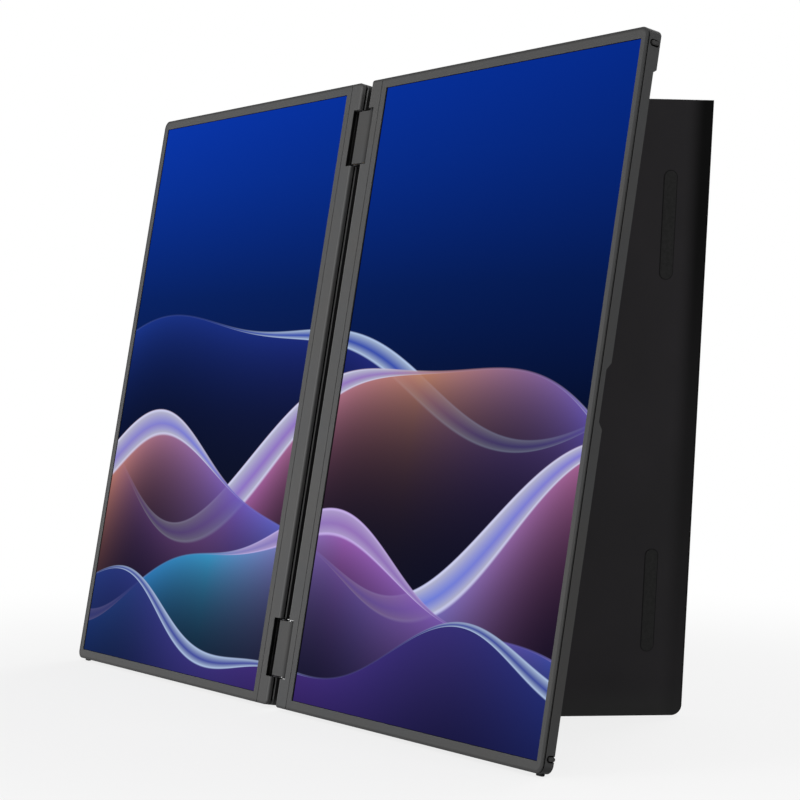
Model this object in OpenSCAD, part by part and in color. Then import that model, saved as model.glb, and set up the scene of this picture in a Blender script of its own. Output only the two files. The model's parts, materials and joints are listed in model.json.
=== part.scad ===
// Folding two-screen extender for a laptop: two portrait modules on dual-axis
// hinges, with a slanted kickstand plate on the back of the right module.
// Panel frame: x runs across the screens from the middle of the hinge gap,
// y runs from the glass towards the back, z runs up the panels from their
// bottom edge. The finished model leans back on a desk at z = 0.

/* [Screens] */
// Width of the lit area of one screen
screen_w = 188.5; // [150:0.5:240]
// Height of the lit area of one screen
screen_h = 301.6; // [270:0.2:360]
// Black border between the lit area and the bezel
screen_border = 0.8; // [0.3:0.1:3]
// Thickness of the display panel with its cover glass
panel_t = 1.2; // [0.8:0.1:2]
// Thickness of the heat spreader behind the panel
spreader_t = 0.3; // [0.2:0.1:0.6]
// How far the panel reaches under the bezel
panel_lap = 1.2; // [0.5:0.1:2]

/* [Housings] */
// Thickness of a module
module_t = 7.6; // [7.4:0.1:10]
// Bezel width along the outer long edge
bezel_side_w = 4.2; // [4:0.05:10]
// Bezel width along the short edges
bezel_end_w = 4.85; // [4:0.05:10]
// Width of the bezel bar next to the hinge strip
bezel_bar_w = 4; // [2:0.1:8]
// Width of the hinge strip
strip_w = 9.75; // [8:0.05:14]
// Thickness of the bezel lip
bezel_t = 0.6; // [0.4:0.1:1]
// Height of the shadow line under the bezel
seam_h = 0.35; // [0.1:0.05:0.4]
// Depth of the shadow lines
seam_depth = 0.5; // [0.2:0.05:0.7]
// Gap between the bezel bar and the hinge strip
strip_gap = 0.35; // [0.1:0.05:0.4]
// Side wall of a back cover
wall = 1.1; // [0.9:0.1:1.5]
// Back wall of a back cover
back_t = 0.9; // [0.7:0.1:1.2]
// Radius of the outer corners
corner_r = 4.2; // [2:0.1:6]
// Radius of the corners next to the hinge
hinge_corner_r = 2.4; // [0.5:0.1:3]
// Radius of the strip's front edge at the hinge
strip_edge_r = 1.2; // [0.5:0.1:2]
// Radius of the back cover's edge at the hinge
cover_edge_r = 1.2; // [1:0.1:4]
// Radius of the back cover's outer edges
back_edge_r = 0.6; // [0.3:0.1:1]
// Height of the groove between the strip and the back cover
groove_h = 1.2; // [0.3:0.1:1.2]
// Thickness of the chassis plate
chassis_t = 0.8; // [0.6:0.1:1.2]

/* [Hinges] */
// Gap between the two screens' bezels when folded shut
closed_gap = 0.4; // [0.2:0.1:2]
// Length of a hinge block
block_l = 26.8; // [20:0.1:40]
// Radius of a hinge block's round ends
block_r = 2.8; // [2.5:0.1:3.2]
// Distance from a module's end to the middle of the hinge block
hinge_inset = 28.2; // [24:0.1:60]
// Depth of the notch around a hinge block
notch_w = 4.9; // [3.5:0.1:6]
// Gap between a hinge block's end and the notch
notch_gap = 1; // [0.9:0.1:2]
// Radius of a hinge shaft
shaft_r = 1.25; // [0.9:0.05:1.4]
// Radial play of a shaft in its bushes
shaft_play = 0.05; // [0.02:0.01:0.1]
// Outer radius of a bush
bush_r = 2; // [1.8:0.05:2.1]
// Length of a bush
bush_l = 8; // [4:0.5:9]
// Thickness of a bracket's ear
ear_t = 0.6; // [0.4:0.05:0.6]
// Radius of a bracket's ear
ear_r = 2; // [1.6:0.1:2.2]
// Play between an ear and the hinge block
ear_play = 0.15; // [0.1:0.05:0.2]
// Width of a bracket's leaf
leaf_w = 20; // [14:0.5:26]
// Length of a bracket's leaf
leaf_l = 34; // [32:0.5:42]
// Thickness of a bracket's leaf
leaf_t = 0.8; // [0.5:0.1:1]

/* [Kickstand] */
// Slant of the kickstand's hinge line
stand_skew = 16; // [10:0.5:22]
// Angle at which the kickstand stands open
stand_angle = 65; // [50:1:80]
// Where the hinge line meets the kickstand's bottom edge
stand_x = 38.6; // [34:0.1:60]
// Height of the kickstand's top edge
stand_top = 293.9; // [260:0.1:297]
// Thickness of the kickstand plate
stand_t = 1.5; // [1:0.1:1.8]
// Gap between the closed plate and the recess floor
stand_gap = 0.3; // [0.3:0.05:0.5]
// How far the closed plate lies below the back
stand_flush = 0.1; // [0:0.05:0.2]
// Gap around the closed plate
stand_margin = 0.35; // [0.3:0.05:0.8]
// Width of the free edge's bevel at its bottom end
stand_bevel_low = 4.5; // [3:0.5:10]
// Width of the free edge's bevel at its top end
stand_bevel_top = 13.5; // [10:0.5:18]
// Depth of the free edge's bevel at its top end
stand_bevel_h = 0.8; // [0.3:0.05:0.9]
// Radius of the plate's bottom corner
stand_corner_r = 5; // [2:0.1:10]
// Length of a grip strip on the plate
strip_pad_l = 50; // [30:1:70]
// Width of a grip strip on the plate
strip_pad_w = 5.8; // [5:0.1:12]
// Thickness of a grip strip
strip_pad_t = 0.2; // [0.1:0.05:0.2]
// Distance of the grip strips from the free edge
strip_pad_inset = 18.7; // [16:0.1:30]
// Distance of the grip strips from the plate's middle
strip_pad_offset = 89.7; // [50:0.1:100]
// Distance along the hinge line to the lower kickstand hinge
stand_hinge_low = 60; // [40:1:100]
// Distance along the hinge line to the upper kickstand hinge
stand_hinge_high = 245; // [180:1:260]
// Length of a moving knuckle
knuckle_l = 12; // [8:0.5:16]
// Length of a fixed knuckle
fixed_knuckle_l = 8; // [5:0.5:10]
// Radius of a kickstand pin
pin_r = 0.8; // [0.6:0.05:0.9]
// Radial play of a kickstand pin
pin_play = 0.05; // [0.02:0.01:0.1]

/* [Feet] */
// Height of a foot below the bottom edge, at its middle
foot_h = 1; // [1:0.1:3]
// Length of a foot
foot_l = 4.6; // [4:0.1:14]
// Width of a foot
foot_w = 2; // [1.8:0.1:3.5]
// Distance from the outer edge to the middle of a foot
foot_inset = 5.4; // [5:0.1:20]
// How far a side pad stands out
pad_h = 0.8; // [0.3:0.1:1.5]
// Width of a side pad
pad_w = 1.8; // [1.5:0.1:3]
// Width of the moat around a side pad
pad_moat = 0.6; // [0.1:0.05:0.7]
// Distance from a module's end to the middle of a side pad
pad_inset = 6.5; // [5.5:0.1:20]
// Depth of the pockets that hold feet and pads
pocket_h = 0.5; // [0.3:0.05:0.6]
// Gap around a foot or pad in its pocket
pocket_gap = 0.25; // [0.1:0.05:0.4]

/* [Sockets and buttons] */
// Drop from the middle of the side to the upper USB-C socket
usb_drop = 72.5; // [64:0.5:84]
// Distance between the two USB-C sockets
usb_pitch = 18; // [14:0.5:20]
// Drop from the middle of the side to the mini HDMI socket
hdmi_drop = 48.5; // [42:0.5:52]
// Rise from the middle of the side to the lowest button
button_rise = 49.5; // [44:0.5:60]
// Distance between buttons
button_pitch = 18; // [14:0.5:22]
// Length of a button
button_l = 9; // [6:0.5:11]
// Width of a button
button_w = 2.4; // [1.6:0.1:2.6]
// How far a button stands out
button_proud = 0.3; // [0.1:0.1:0.8]
// Travel of a button
button_travel = 0.4; // [0.2:0.1:0.5]
// Rise of the tripod socket above the middle of the back
tripod_rise = 0; // [-30:1:30]
// Distance of the tripod socket from the hinge gap
tripod_x = 42; // [40:1:60]

/* [Hidden] */
$fn = 48;
over = 1;
least_r = 0.2;
usb_w = 8.94;
usb_t = 3.26;
usb_depth = 7.4;
usb_metal = 0.3;
usb_tongue_w = 6.69;
usb_tongue_t = 0.7;
usb_tongue_l = 4.5;
hdmi_w = 11.2;
hdmi_t = 3.2;
hdmi_tongue_w = 8.2;
socket_gap = 0.15;
socket_set = 0.1;
tripod_r = 3.175;
tripod_depth = 4.4;
tripod_nut_r = 5.2;
tripod_flange_r = 7.2;
tripod_flange_t = 0.8;
tripod_play = 0.02;
inner_gap = 0.1;

aperture_w = screen_w + 2 * screen_border;
aperture_h = screen_h + 2 * screen_border;
module_w = strip_w + bezel_bar_w + aperture_w + bezel_side_w;
module_h = aperture_h + 2 * bezel_end_w;
middle_z = module_h / 2;
axis_x = module_t / 2 + closed_gap / 2;
axis_y = module_t / 2;
edge_x = axis_x;
outer_x = edge_x + module_w;
seam_x = edge_x + strip_w;
aperture_x = seam_x + bezel_bar_w;
notch_x = edge_x + notch_w;
hinge_zs = [hinge_inset, module_h - hinge_inset];
notch_half = block_l / 2 + notch_gap;
ear_near = block_l / 2 + ear_play;

rim_y = bezel_t + seam_h;
spreader_y = bezel_t + panel_t;
chassis_y = spreader_y + spreader_t;
frame_y = chassis_y + chassis_t;
strip_r = min(strip_edge_r, chassis_y - seam_h / 2);
inner_y = module_t - back_t;
groove_y = chassis_y + groove_h;

plate_y = module_t - stand_flush - stand_t;
recess_y = plate_y - stand_gap;
floor_y = recess_y - back_t;
barrel_r = stand_t;
recess_edge = barrel_r + stand_margin;
recess_top = stand_top + stand_margin;
recess_rise = 1.4;
well_w = 12;
well_end = 1.2;
well_half = knuckle_l / 2 + fixed_knuckle_l + well_end;
well_y = plate_y - barrel_r - stand_gap;
well_t = 0.9;
knuckle_play = 0.2;
knuckle_step = (knuckle_l + fixed_knuckle_l) / 2 + knuckle_play;
stand_hinge_ss = [stand_hinge_low, stand_hinge_high];

lean = atan(sin(stand_skew) * tan(stand_angle / 2));
foot_shift = 0.4;
foot_y = (frame_y + recess_y) / 2 - foot_shift;
foot_x = outer_x - foot_inset;
desk_z = -foot_h + (plate_y - foot_y) * tan(lean);
stand_pivot = [stand_x, plate_y, desk_z];
stand_bevel_slant = atan((stand_bevel_top - stand_bevel_low) / (stand_top - desk_z));
stand_middle_z = (desk_z + stand_top) / 2;

grip_notch_half = 14;
grip_notch_floor = 11;
grip_notch_depth = 2.2;
grip_notch_w = 6;

screw_head_r = 1.7;
screw_head_t = 0.4;
screw_r = 0.8;
screw_fit = 0.02;
screw_hole_r = 1;
screw_l = 1.6;
screw_set = 0.05;
screw_end_gap = 0.1;
screw_head_gap = 0.1;
boss_r = 2.4;
boss_inset = 3.6;
boss_x = 27;
boss_end = 12.5;
boss_step = 30;
boss_spread = 75;
boss_points = [
    [outer_x - wall - boss_inset, boss_end],
    [outer_x - wall - boss_inset, middle_z - boss_step],
    [outer_x - wall - boss_inset, middle_z + boss_step],
    [outer_x - wall - boss_inset, module_h - boss_end],
    [boss_x, middle_z - boss_spread],
    [boss_x, middle_z],
    [boss_x, middle_z + boss_spread]
];
chassis_gap = 0.2;

leaf_set = 0.3;
leaf_x = notch_x + wall + leaf_set;
leaf_screw_edge = 4;
leaf_screw_xs = [leaf_x + leaf_screw_edge, leaf_x + leaf_w - leaf_screw_edge];
leaf_screw_offset = leaf_l / 2 - leaf_screw_edge;
leaf_head_t = 0.7;
ear_step = 0.6;
ear_slot_play = 0.05;

flex_t = 0.2;
flex_w = 9;
flex_clear = 0.25;
flex_y = axis_y + shaft_r + flex_clear;
flex_slot_h = 0.5;
flex_slot_w = flex_w + 1;
flex_reach = axis_x + bush_r;
flex_start = axis_x + block_r + 0.3;
lower_hinge_z = hinge_inset;

board_t = 0.6;
board_lift = 0.3;
board_y = frame_y + board_lift;
board_top = board_y + board_t;
spacer_r = 1.5;
spacer_inset = 2;
connector_w = 4;
connector_inset = 0.5;
connector_t = 1;
connector_h = flex_y - board_top;
display_flex_w = 16;
display_flex_y = board_top + connector_t;
flex_step = 6;
flex_window_gap = 1;

driver_x = 34;
driver_z = middle_z + 48;
driver_w = 46;
driver_h = 52;
riser_x = 13;
right_flex_x = driver_x + driver_w / 2 + flex_step;
right_flex_z = driver_z - flex_step;

port_y = frame_y + usb_t / 2 + inner_gap;
usb_zs = [middle_z - usb_drop - usb_pitch, middle_z - usb_drop];
hdmi_z = middle_z - hdmi_drop;
main_w = 86;
main_over = 34;
main_x = outer_x - socket_set - usb_depth - main_w;
main_z = lower_hinge_z - flex_w / 2 - connector_inset;
main_h = hdmi_z + main_over - main_z;
left_flex_x = main_x + main_w / 2;
left_flex_z = main_z + main_h + flex_step;

// Chips of each board: [x, z, width, height, thickness] from its lower corner.
driver_chips = [
    [8, 30, 12, 12, 0.9],
    [26, 32, 10, 8, 0.8],
    [8, 14, 6, 6, 1]
];
main_chips = [
    [30, 60, 16, 16, 1],
    [54, 64, 10, 10, 0.8],
    [28, 30, 12, 8, 1.2],
    [58, 20, 14, 14, 0.8]
];

button_y = board_top + 1;
button_flange_t = 0.5;
button_flange_gap = 0.05;
button_flange_lap = 0.3;
button_slot_gap = 0.15;
flange_back_x = outer_x - wall - button_flange_gap - button_flange_t;
button_zs = [for (i = [0 : 2]) middle_z + button_rise + i * button_pitch];
switch_gap = 0.05;
switch_face_x = flange_back_x - button_travel - switch_gap;
switch_l = 2.6;
switch_half = 1.8;
key_board_w = 6;
key_board_end = 4;
key_board_x = switch_face_x - switch_l / 2 - key_board_w;
key_board_h = 2 * button_pitch + button_l + 2 * key_board_end;
key_board_z = button_zs[1] - key_board_h / 2;
tripod_z = middle_z + tripod_rise;

pad_front_gap = 1.3;
pad_end_gap = pad_moat + 0.1;
pad_edge_gap = 0.1;

base_leaf_t = 0.8;
base_leaf_y = inner_y - 1.7;
base_leaf_far = -14;
base_leaf_gap = 0.2;
base_slot_play = 0.1;
base_pad_w = 8;
base_pad_half = well_half - 1;
moving_leaf_w = 11;
moving_leaf_t = 0.5;
plate_screw_u = 7;
plate_screw_offset = 3.5;
plate_screw_head_r = 1.4;
plate_screw_head_t = 0.4;
plate_screw_l = 1;

// Rear-most reach of the open kickstand, used to centre the model on the desk.
across = [
    pow(sin(stand_skew), 2) + pow(cos(stand_skew), 2) * cos(stand_angle),
    cos(stand_skew) * sin(stand_angle),
    sin(stand_skew) * cos(stand_skew) * (1 - cos(stand_angle))
];
outward = [
    -cos(stand_skew) * sin(stand_angle),
    cos(stand_angle),
    sin(stand_skew) * sin(stand_angle)
];
along = [
    sin(stand_skew) * cos(stand_skew) * (1 - cos(stand_angle)),
    -sin(stand_skew) * sin(stand_angle),
    pow(cos(stand_skew), 2) + pow(sin(stand_skew), 2) * cos(stand_angle)
];
back_dir = [0, cos(lean), sin(lean)];
corner_point = stand_pivot + (outer_x - stand_x - stand_corner_r) * across
    + stand_corner_r * along + stand_t * outward;
corner_slope = [across * back_dir, along * back_dir];
rear_reach = corner_point * back_dir + stand_corner_r * norm(corner_slope);
desk_drop = desk_z * cos(lean) - plate_y * sin(lean);

// ---- placing ----

// Leans the panels back and sets feet and kickstand on the desk.
module standing() {
    translate([-pad_h / 2, -rear_reach / 2, -desk_drop])
        rotate([-lean, 0, 0]) children();
}

// Draws the left module's pieces, mirrored in the hinge gap.
module on_left() {
    mirror([1, 0, 0]) children();
}

// Extrudes a shape drawn in x and z from depth y0 to depth y1.
module slab(y0, y1) {
    translate([0, y1, 0]) rotate([90, 0, 0]) linear_extrude(y1 - y0) children();
}

// Extrudes a shape drawn in x and y from height z0 to height z1.
module bar(z0, z1) {
    translate([0, 0, z0]) linear_extrude(z1 - z0) children();
}

// Box between two corners.
module block(low, high) {
    translate(low) cube(high - low);
}

// Round bar along y from depth y0 to depth y1.
module peg(x, z, r, y0, y1) {
    translate([x, y0, z]) rotate([-90, 0, 0]) cylinder(h = y1 - y0, r = r);
}

// Places pieces on the kickstand's hinge line: x across it, z along it.
module on_stand_axis() {
    translate(stand_pivot) rotate([0, stand_skew, 0]) children();
}

// Swings pieces drawn shut to the kickstand's open angle.
module stand_open() {
    translate(stand_pivot) rotate([0, stand_skew, 0]) rotate([0, 0, stand_angle])
        rotate([0, -stand_skew, 0]) translate(-stand_pivot) children();
}

// ---- outlines ----

// Rectangle with one radius at its left corners and one at its right corners.
module rounded(x0, x1, z0, z1, r0, r1) {
    translate([x0 + r0, z0]) square([x1 - x0 - r0 - r1, z1 - z0]);
    translate([x0, z0 + r0]) square([r0 + over, z1 - z0 - 2 * r0]);
    translate([x1 - r1 - over, z0 + r1]) square([r1 + over, z1 - z0 - 2 * r1]);
    for (z = [z0 + r0, z1 - r0]) translate([x0 + r0, z]) circle(r0);
    for (z = [z0 + r1, z1 - r1]) translate([x1 - r1, z]) circle(r1);
}

// Outline of a module, set in from its edges.
module module_outline(inset) {
    rounded(edge_x + inset, outer_x - inset, inset, module_h - inset,
        max(hinge_corner_r - inset, least_r), max(corner_r - inset, least_r));
}

// Opening of the bezel, or the panel behind it with a lap.
module aperture(lap) {
    translate([aperture_x - lap, bezel_end_w - lap])
        square([aperture_w + 2 * lap, aperture_h + 2 * lap]);
}

// Stadium: a bar of length l along x with round ends, or along y when upright.
module stadium(l, w, upright = false) {
    reach = (l - w) / 2;
    ends = upright ? [[0, -reach], [0, reach]] : [[-reach, 0], [reach, 0]];
    for (p = ends) translate(p) circle(w / 2);
    square(upright ? [w, l - w] : [l - w, w], center = true);
}

// Part of the back to the right of the kickstand's hinge line.
module stand_side(offset) {
    translate([stand_x, desk_z]) rotate(-stand_skew)
        translate([-offset, -module_h]) square([2 * module_w, 3 * module_h]);
}

// Recess outline on the back, grown by margin.
module recess_outline(margin) {
    intersection() {
        stand_side(recess_edge + margin);
        translate([0, -module_h]) square([outer_x + 2 * over, recess_top + margin + module_h]);
    }
}

// ---- shared pieces ----

// Cap-head screw that runs towards the back from depth y.
module screw_in(x, z, y, l) {
    peg(x, z, screw_head_r, y, y + screw_head_t);
    peg(x, z, screw_r, y + screw_head_t, y + screw_head_t + l);
}

// Front bezel of a module: a lip around the screen on a narrow seat.
module bezel() {
    difference() {
        union() {
            slab(0, bezel_t)
                rounded(seam_x, outer_x, 0, module_h, least_r, corner_r);
            slab(bezel_t, rim_y) intersection() {
                module_outline(seam_depth);
                translate([seam_x, 0]) square([module_w, module_h]);
            }
        }
        slab(-over, rim_y + over) aperture(0);
        slab(bezel_t, rim_y + over)
            translate([seam_x - over, wall])
                square([outer_x - wall - seam_x + over, module_h - 2 * wall]);
    }
}

// Trim strip over the hinge brackets, notched for the hinge blocks.
module hinge_strip() {
    difference() {
        intersection() {
            bar(0, module_h) union() {
                translate([edge_x + strip_r, strip_r]) circle(strip_r);
                translate([edge_x, strip_r]) square([strip_w - strip_gap, chassis_y - strip_r]);
                translate([edge_x + strip_r, 0])
                    square([strip_w - strip_gap - strip_r, chassis_y]);
            }
            slab(0, chassis_y)
                rounded(edge_x, outer_x, 0, module_h, hinge_corner_r, corner_r);
        }
        for (z = hinge_zs)
            block([edge_x - over, -over, z - notch_half],
                [notch_x, chassis_y + over, z + notch_half]);
    }
    for (span = strip_spans())
        block([edge_x + seam_depth, chassis_y, span[0]],
            [edge_x + wall, groove_y, span[1]]);
}

// Stretches of the hinge-side edge between module ends and notches.
function strip_spans() = [
    [2 * wall, hinge_zs[0] - notch_half],
    [hinge_zs[0] + notch_half, hinge_zs[1] - notch_half],
    [hinge_zs[1] + notch_half, module_h - 2 * wall]
];

// Display panel with its cover glass.
module display() {
    slab(bezel_t, spreader_y) aperture(panel_lap);
}

// Metal sheet on the back of the display.
module heat_spreader() {
    slab(spreader_y, chassis_y) aperture(panel_lap / 2);
}

// Stamped plate that carries display, hinges and boards.
module chassis(flex_x, flex_z) {
    difference() {
        slab(chassis_y, frame_y) difference() {
            module_outline(wall + chassis_gap);
            translate([0, -over]) square([notch_x + wall + chassis_gap, module_h + 2 * over]);
        }
        for (p = boss_points) {
            peg(p[0], p[1], screw_head_r + screw_head_gap,
                chassis_y - over, chassis_y + screw_head_t + screw_set);
            peg(p[0], p[1], screw_hole_r, chassis_y, frame_y + over);
        }
        for (z = hinge_zs, x = leaf_screw_xs, side = [-1, 1])
            peg(x, z + side * leaf_screw_offset, screw_r + screw_fit, chassis_y - over, frame_y + over);
        translate([flex_x, chassis_y - over, flex_z + flex_t / 2]) rotate([-90, 0, 0])
            linear_extrude(chassis_t + 2 * over)
                square([display_flex_w, flex_t] + 2 * [flex_window_gap, flex_window_gap],
                    center = true);
    }
}

// Outer body of a back cover.
module cover_body() {
    intersection() {
        slab(rim_y, module_t) module_outline(0);
        bar(0, module_h) union() {
            translate([edge_x, 0]) square([module_w, module_t - cover_edge_r]);
            translate([edge_x + cover_edge_r, 0])
                square([module_w - cover_edge_r - back_edge_r, module_t]);
            translate([outer_x - module_w / 2, 0])
                square([module_w / 2, module_t - back_edge_r]);
            translate([edge_x + cover_edge_r, module_t - cover_edge_r]) circle(cover_edge_r);
            translate([outer_x - back_edge_r, module_t - back_edge_r]) circle(back_edge_r);
        }
    }
}

// Inner space of a back cover at one depth, kept clear of the hinge notches.
module cavity_outline() {
    difference() {
        module_outline(wall);
        for (z = hinge_zs)
            translate([0, z - notch_half - wall])
                square([notch_x + wall, 2 * (notch_half + wall)]);
    }
}

// Cuts that every back cover has: rim steps, hinge notches and ear slots.
module cover_cuts() {
    block([edge_x - over, -over, -over],
        [seam_x, chassis_y + seam_h, module_h + over]);
    block([edge_x - over, -over, 2 * wall],
        [edge_x + wall + over, groove_y, module_h - 2 * wall]);
    for (z = hinge_zs) {
        block([edge_x - over, -over, z - notch_half],
            [notch_x, module_t + over, z + notch_half]);
        for (side = [-1, 1]) {
            middle = z + side * (ear_near + ear_t / 2);
            block([notch_x - over, frame_y - inner_gap, middle - ear_t / 2 - ear_slot_play],
                [notch_x + wall + over, axis_y + ear_r, middle + ear_t / 2 + ear_slot_play]);
        }
    }
    block([notch_x - over, flex_y - flex_slot_h / 2 + flex_t / 2, lower_hinge_z - flex_slot_w / 2],
        [notch_x + wall + over, flex_y + flex_slot_h / 2 + flex_t / 2,
            lower_hinge_z + flex_slot_w / 2]);
    translate([foot_x, foot_y, -over]) linear_extrude(over + pocket_h)
        stadium(foot_l + 2 * pocket_gap, foot_w + 2 * pocket_gap);
}

// Screw bosses of a back cover.
module bosses(depths) {
    for (i = [0 : len(boss_points) - 1])
        peg(boss_points[i][0], boss_points[i][1], boss_r, frame_y, depths[i]);
}

// Threaded cores of the screw bosses.
module boss_holes() {
    for (p = boss_points)
        peg(p[0], p[1], screw_r + screw_fit, frame_y - over, frame_y + screw_l);
}

// Rubber foot, cut to the plane of the desk.
module foot() {
    intersection() {
        translate([foot_x, foot_y, -2 * foot_h]) linear_extrude(2 * foot_h + pocket_h)
            stadium(foot_l, foot_w);
        translate([foot_x, foot_y, -foot_h]) rotate([lean, 0, 0])
            translate([-foot_l, -foot_l, 0]) cube([2 * foot_l, 2 * foot_l, 2 * foot_l]);
    }
}

// Steel brackets, one at each hinge block, each with two ears for the shaft.
module hinge_brackets() {
    for (z = hinge_zs) difference() {
        union() {
            block([leaf_x, frame_y, z - leaf_l / 2], [leaf_x + leaf_w, frame_y + leaf_t, z + leaf_l / 2]);
            for (side = [-1, 1]) {
                middle = z + side * (ear_near + ear_t / 2);
                bar(middle - ear_t / 2, middle + ear_t / 2) union() {
                    translate([axis_x, axis_y]) circle(ear_r);
                    translate([axis_x, frame_y])
                        square([leaf_x + leaf_t - axis_x, axis_y + ear_r - ear_step - frame_y]);
                }
            }
        }
        translate([axis_x, axis_y, z - block_l]) cylinder(h = 2 * block_l, r = shaft_r);
        for (x = leaf_screw_xs, side = [-1, 1])
            peg(x, z + side * leaf_screw_offset, screw_hole_r, frame_y - over, frame_y + leaf_t + over);
    }
}

// Hinge shafts, fixed in the brackets' ears.
module hinge_shafts() {
    for (z = hinge_zs)
        translate([axis_x, axis_y, z - ear_near - ear_t])
            cylinder(h = 2 * (ear_near + ear_t), r = shaft_r);
}

// Screws that hold the brackets to the chassis.
module hinge_screws() {
    for (z = hinge_zs, x = leaf_screw_xs, side = [-1, 1]) {
        peg(x, z + side * leaf_screw_offset, screw_head_r,
            frame_y + leaf_t, frame_y + leaf_t + leaf_head_t);
        peg(x, z + side * leaf_screw_offset, screw_r, chassis_y + screw_set, frame_y + leaf_t);
    }
}

// Screws that hold the chassis to the back cover.
module cover_screws() {
    for (p = boss_points)
        screw_in(p[0], p[1], chassis_y + screw_set,
            chassis_t + screw_l - screw_head_t - screw_set - screw_end_gap);
}

// Circuit board on spacers, with parts given as [x, z, width, height, thickness].
module board(x, z, w, h, parts) {
    block([x, board_y, z], [x + w, board_top, z + h]);
    for (px = [x + spacer_inset, x + w - spacer_inset])
        for (pz = [z + spacer_inset, z + h - spacer_inset])
            peg(px, pz, spacer_r, frame_y, board_y);
    for (p = parts)
        block([x + p[0], board_top, z + p[1]], [x + p[0] + p[2], board_top + p[4], z + p[1] + p[3]]);
}

// Flat flex from the display through the chassis to a connector beyond it.
module display_flex(x, z, reach) {
    half = display_flex_w / 2;
    block([x - half, chassis_y, z], [x + half, display_flex_y + flex_t, z + flex_t]);
    block([x - half, display_flex_y, z], [x + half, display_flex_y + flex_t, z + reach]);
}

// Flex strip of one module, from the lower hinge to the boards.
module hinge_flex(length) {
    block([flex_start, flex_y, lower_hinge_z - flex_w / 2],
        [length, flex_y + flex_t, lower_hinge_z + flex_w / 2]);
}

// ---- right module ----

module right_bezel() {
    color([0.35, 0.35, 0.34]) standing() bezel();
}

module right_hinge_strip() {
    color([0.36, 0.36, 0.35]) standing() hinge_strip();
}

module right_display() {
    color([0.05, 0.12, 0.45]) standing() display();
}

module right_heat_spreader() {
    color([0.55, 0.42, 0.33]) standing() heat_spreader();
}

module right_chassis() {
    color([0.5, 0.5, 0.52]) standing() chassis(right_flex_x, right_flex_z);
}

// Wells in the recess floor for the kickstand's hinges, grown by margin.
module stand_wells(margin, y0, y1) {
    on_stand_axis() for (s = stand_hinge_ss)
        block([-recess_edge - margin, y0 - plate_y, s - well_half - margin],
            [well_w + margin, y1 - plate_y, s + well_half + margin]);
}

// Sloped end of the recess below the module's top corner.
module recess_top_slope() {
    intersection() {
        translate([stand_x, 0, 0]) rotate([90, 0, 90]) linear_extrude(module_w)
            polygon([
                [recess_y, recess_top - over],
                [recess_y, recess_top],
                [module_t, recess_top + recess_rise],
                [module_t + over, recess_top + recess_rise],
                [module_t + over, recess_top - over]
            ]);
        slab(recess_y, module_t + over) stand_side(recess_edge);
    }
}

// Finger notch in the side wall, beside the kickstand's free edge.
module grip_notch() {
    translate([outer_x - grip_notch_w, 0, 0]) rotate([90, 0, 90])
        linear_extrude(grip_notch_w + over)
            polygon([
                [recess_y + over, middle_z - grip_notch_half - over],
                [recess_y, middle_z - grip_notch_half],
                [recess_y - grip_notch_depth, middle_z - grip_notch_floor],
                [recess_y - grip_notch_depth, middle_z + grip_notch_floor],
                [recess_y, middle_z + grip_notch_half],
                [recess_y + over, middle_z + grip_notch_half + over]
            ]);
}

// Back cover with the kickstand's recess, hinge wells and finger notch.
module right_back_cover() {
    boss_depths = [recess_y, recess_y, recess_y, inner_y, inner_y, inner_y, inner_y];
    color([0.27, 0.27, 0.27]) standing() difference() {
        union() {
            difference() {
                cover_body();
                slab(rim_y - over, floor_y) cavity_outline();
                slab(rim_y - over, inner_y) difference() {
                    cavity_outline();
                    recess_outline(wall);
                }
            }
            intersection() {
                stand_wells(well_t, well_y - well_t, recess_y);
                slab(0, module_t) module_outline(0);
            }
            block([outer_x - grip_notch_w - wall, frame_y + inner_gap,
                    middle_z - grip_notch_half - wall],
                [outer_x - wall / 2, recess_y, middle_z + grip_notch_half + wall]);
            bosses(boss_depths);
        }
        slab(recess_y, module_t + over) recess_outline(0);
        recess_top_slope();
        stand_wells(0, well_y, module_t + over);
        on_stand_axis() for (s = stand_hinge_ss, side = [-1, 1]) {
            knuckle_z = s + side * knuckle_step;
            block([-recess_edge - well_t - over, base_leaf_y - base_slot_play - plate_y,
                    knuckle_z - fixed_knuckle_l / 2 - base_slot_play],
                [-recess_edge + over, base_leaf_y + base_leaf_t + base_slot_play - plate_y,
                    knuckle_z + fixed_knuckle_l / 2 + base_slot_play]);
        }
        grip_notch();
        cover_cuts();
        boss_holes();
        side_pad_shapes(pad_moat, over);
    }
}

module right_driver_board() {
    connectors = [
        [right_flex_x - driver_x - display_flex_w / 2, connector_inset,
            display_flex_w, connector_w, connector_t],
        [connector_inset, connector_inset, connector_w, flex_w, connector_h]
    ];
    color([0.05, 0.25, 0.15]) standing()
        board(driver_x, driver_z, driver_w, driver_h, concat(driver_chips, connectors));
}

module right_display_flex() {
    color([0.45, 0.25, 0.08]) standing()
        display_flex(right_flex_x, right_flex_z, flex_step + connector_w);
}

// Flex that climbs from the lower hinge to the driver board.
module right_hinge_flex() {
    color([0.45, 0.25, 0.08]) standing() {
        hinge_flex(riser_x + flex_w);
        block([riser_x, flex_y, lower_hinge_z], [riser_x + flex_w, flex_y + flex_t, driver_z + flex_w]);
        block([riser_x, flex_y, driver_z + connector_inset],
            [driver_x + connector_w, flex_y + flex_t, driver_z + flex_w]);
    }
}

module right_hinge_brackets() {
    color([0.6, 0.6, 0.62]) standing() hinge_brackets();
}

module right_hinge_shafts() {
    color([0.75, 0.75, 0.77]) standing() hinge_shafts();
}

module right_hinge_screws() {
    color([0.3, 0.3, 0.32]) standing() hinge_screws();
}

module right_cover_screws() {
    color([0.3, 0.3, 0.32]) standing() cover_screws();
}

module right_foot() {
    color([0.12, 0.12, 0.12]) standing() foot();
}

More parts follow.
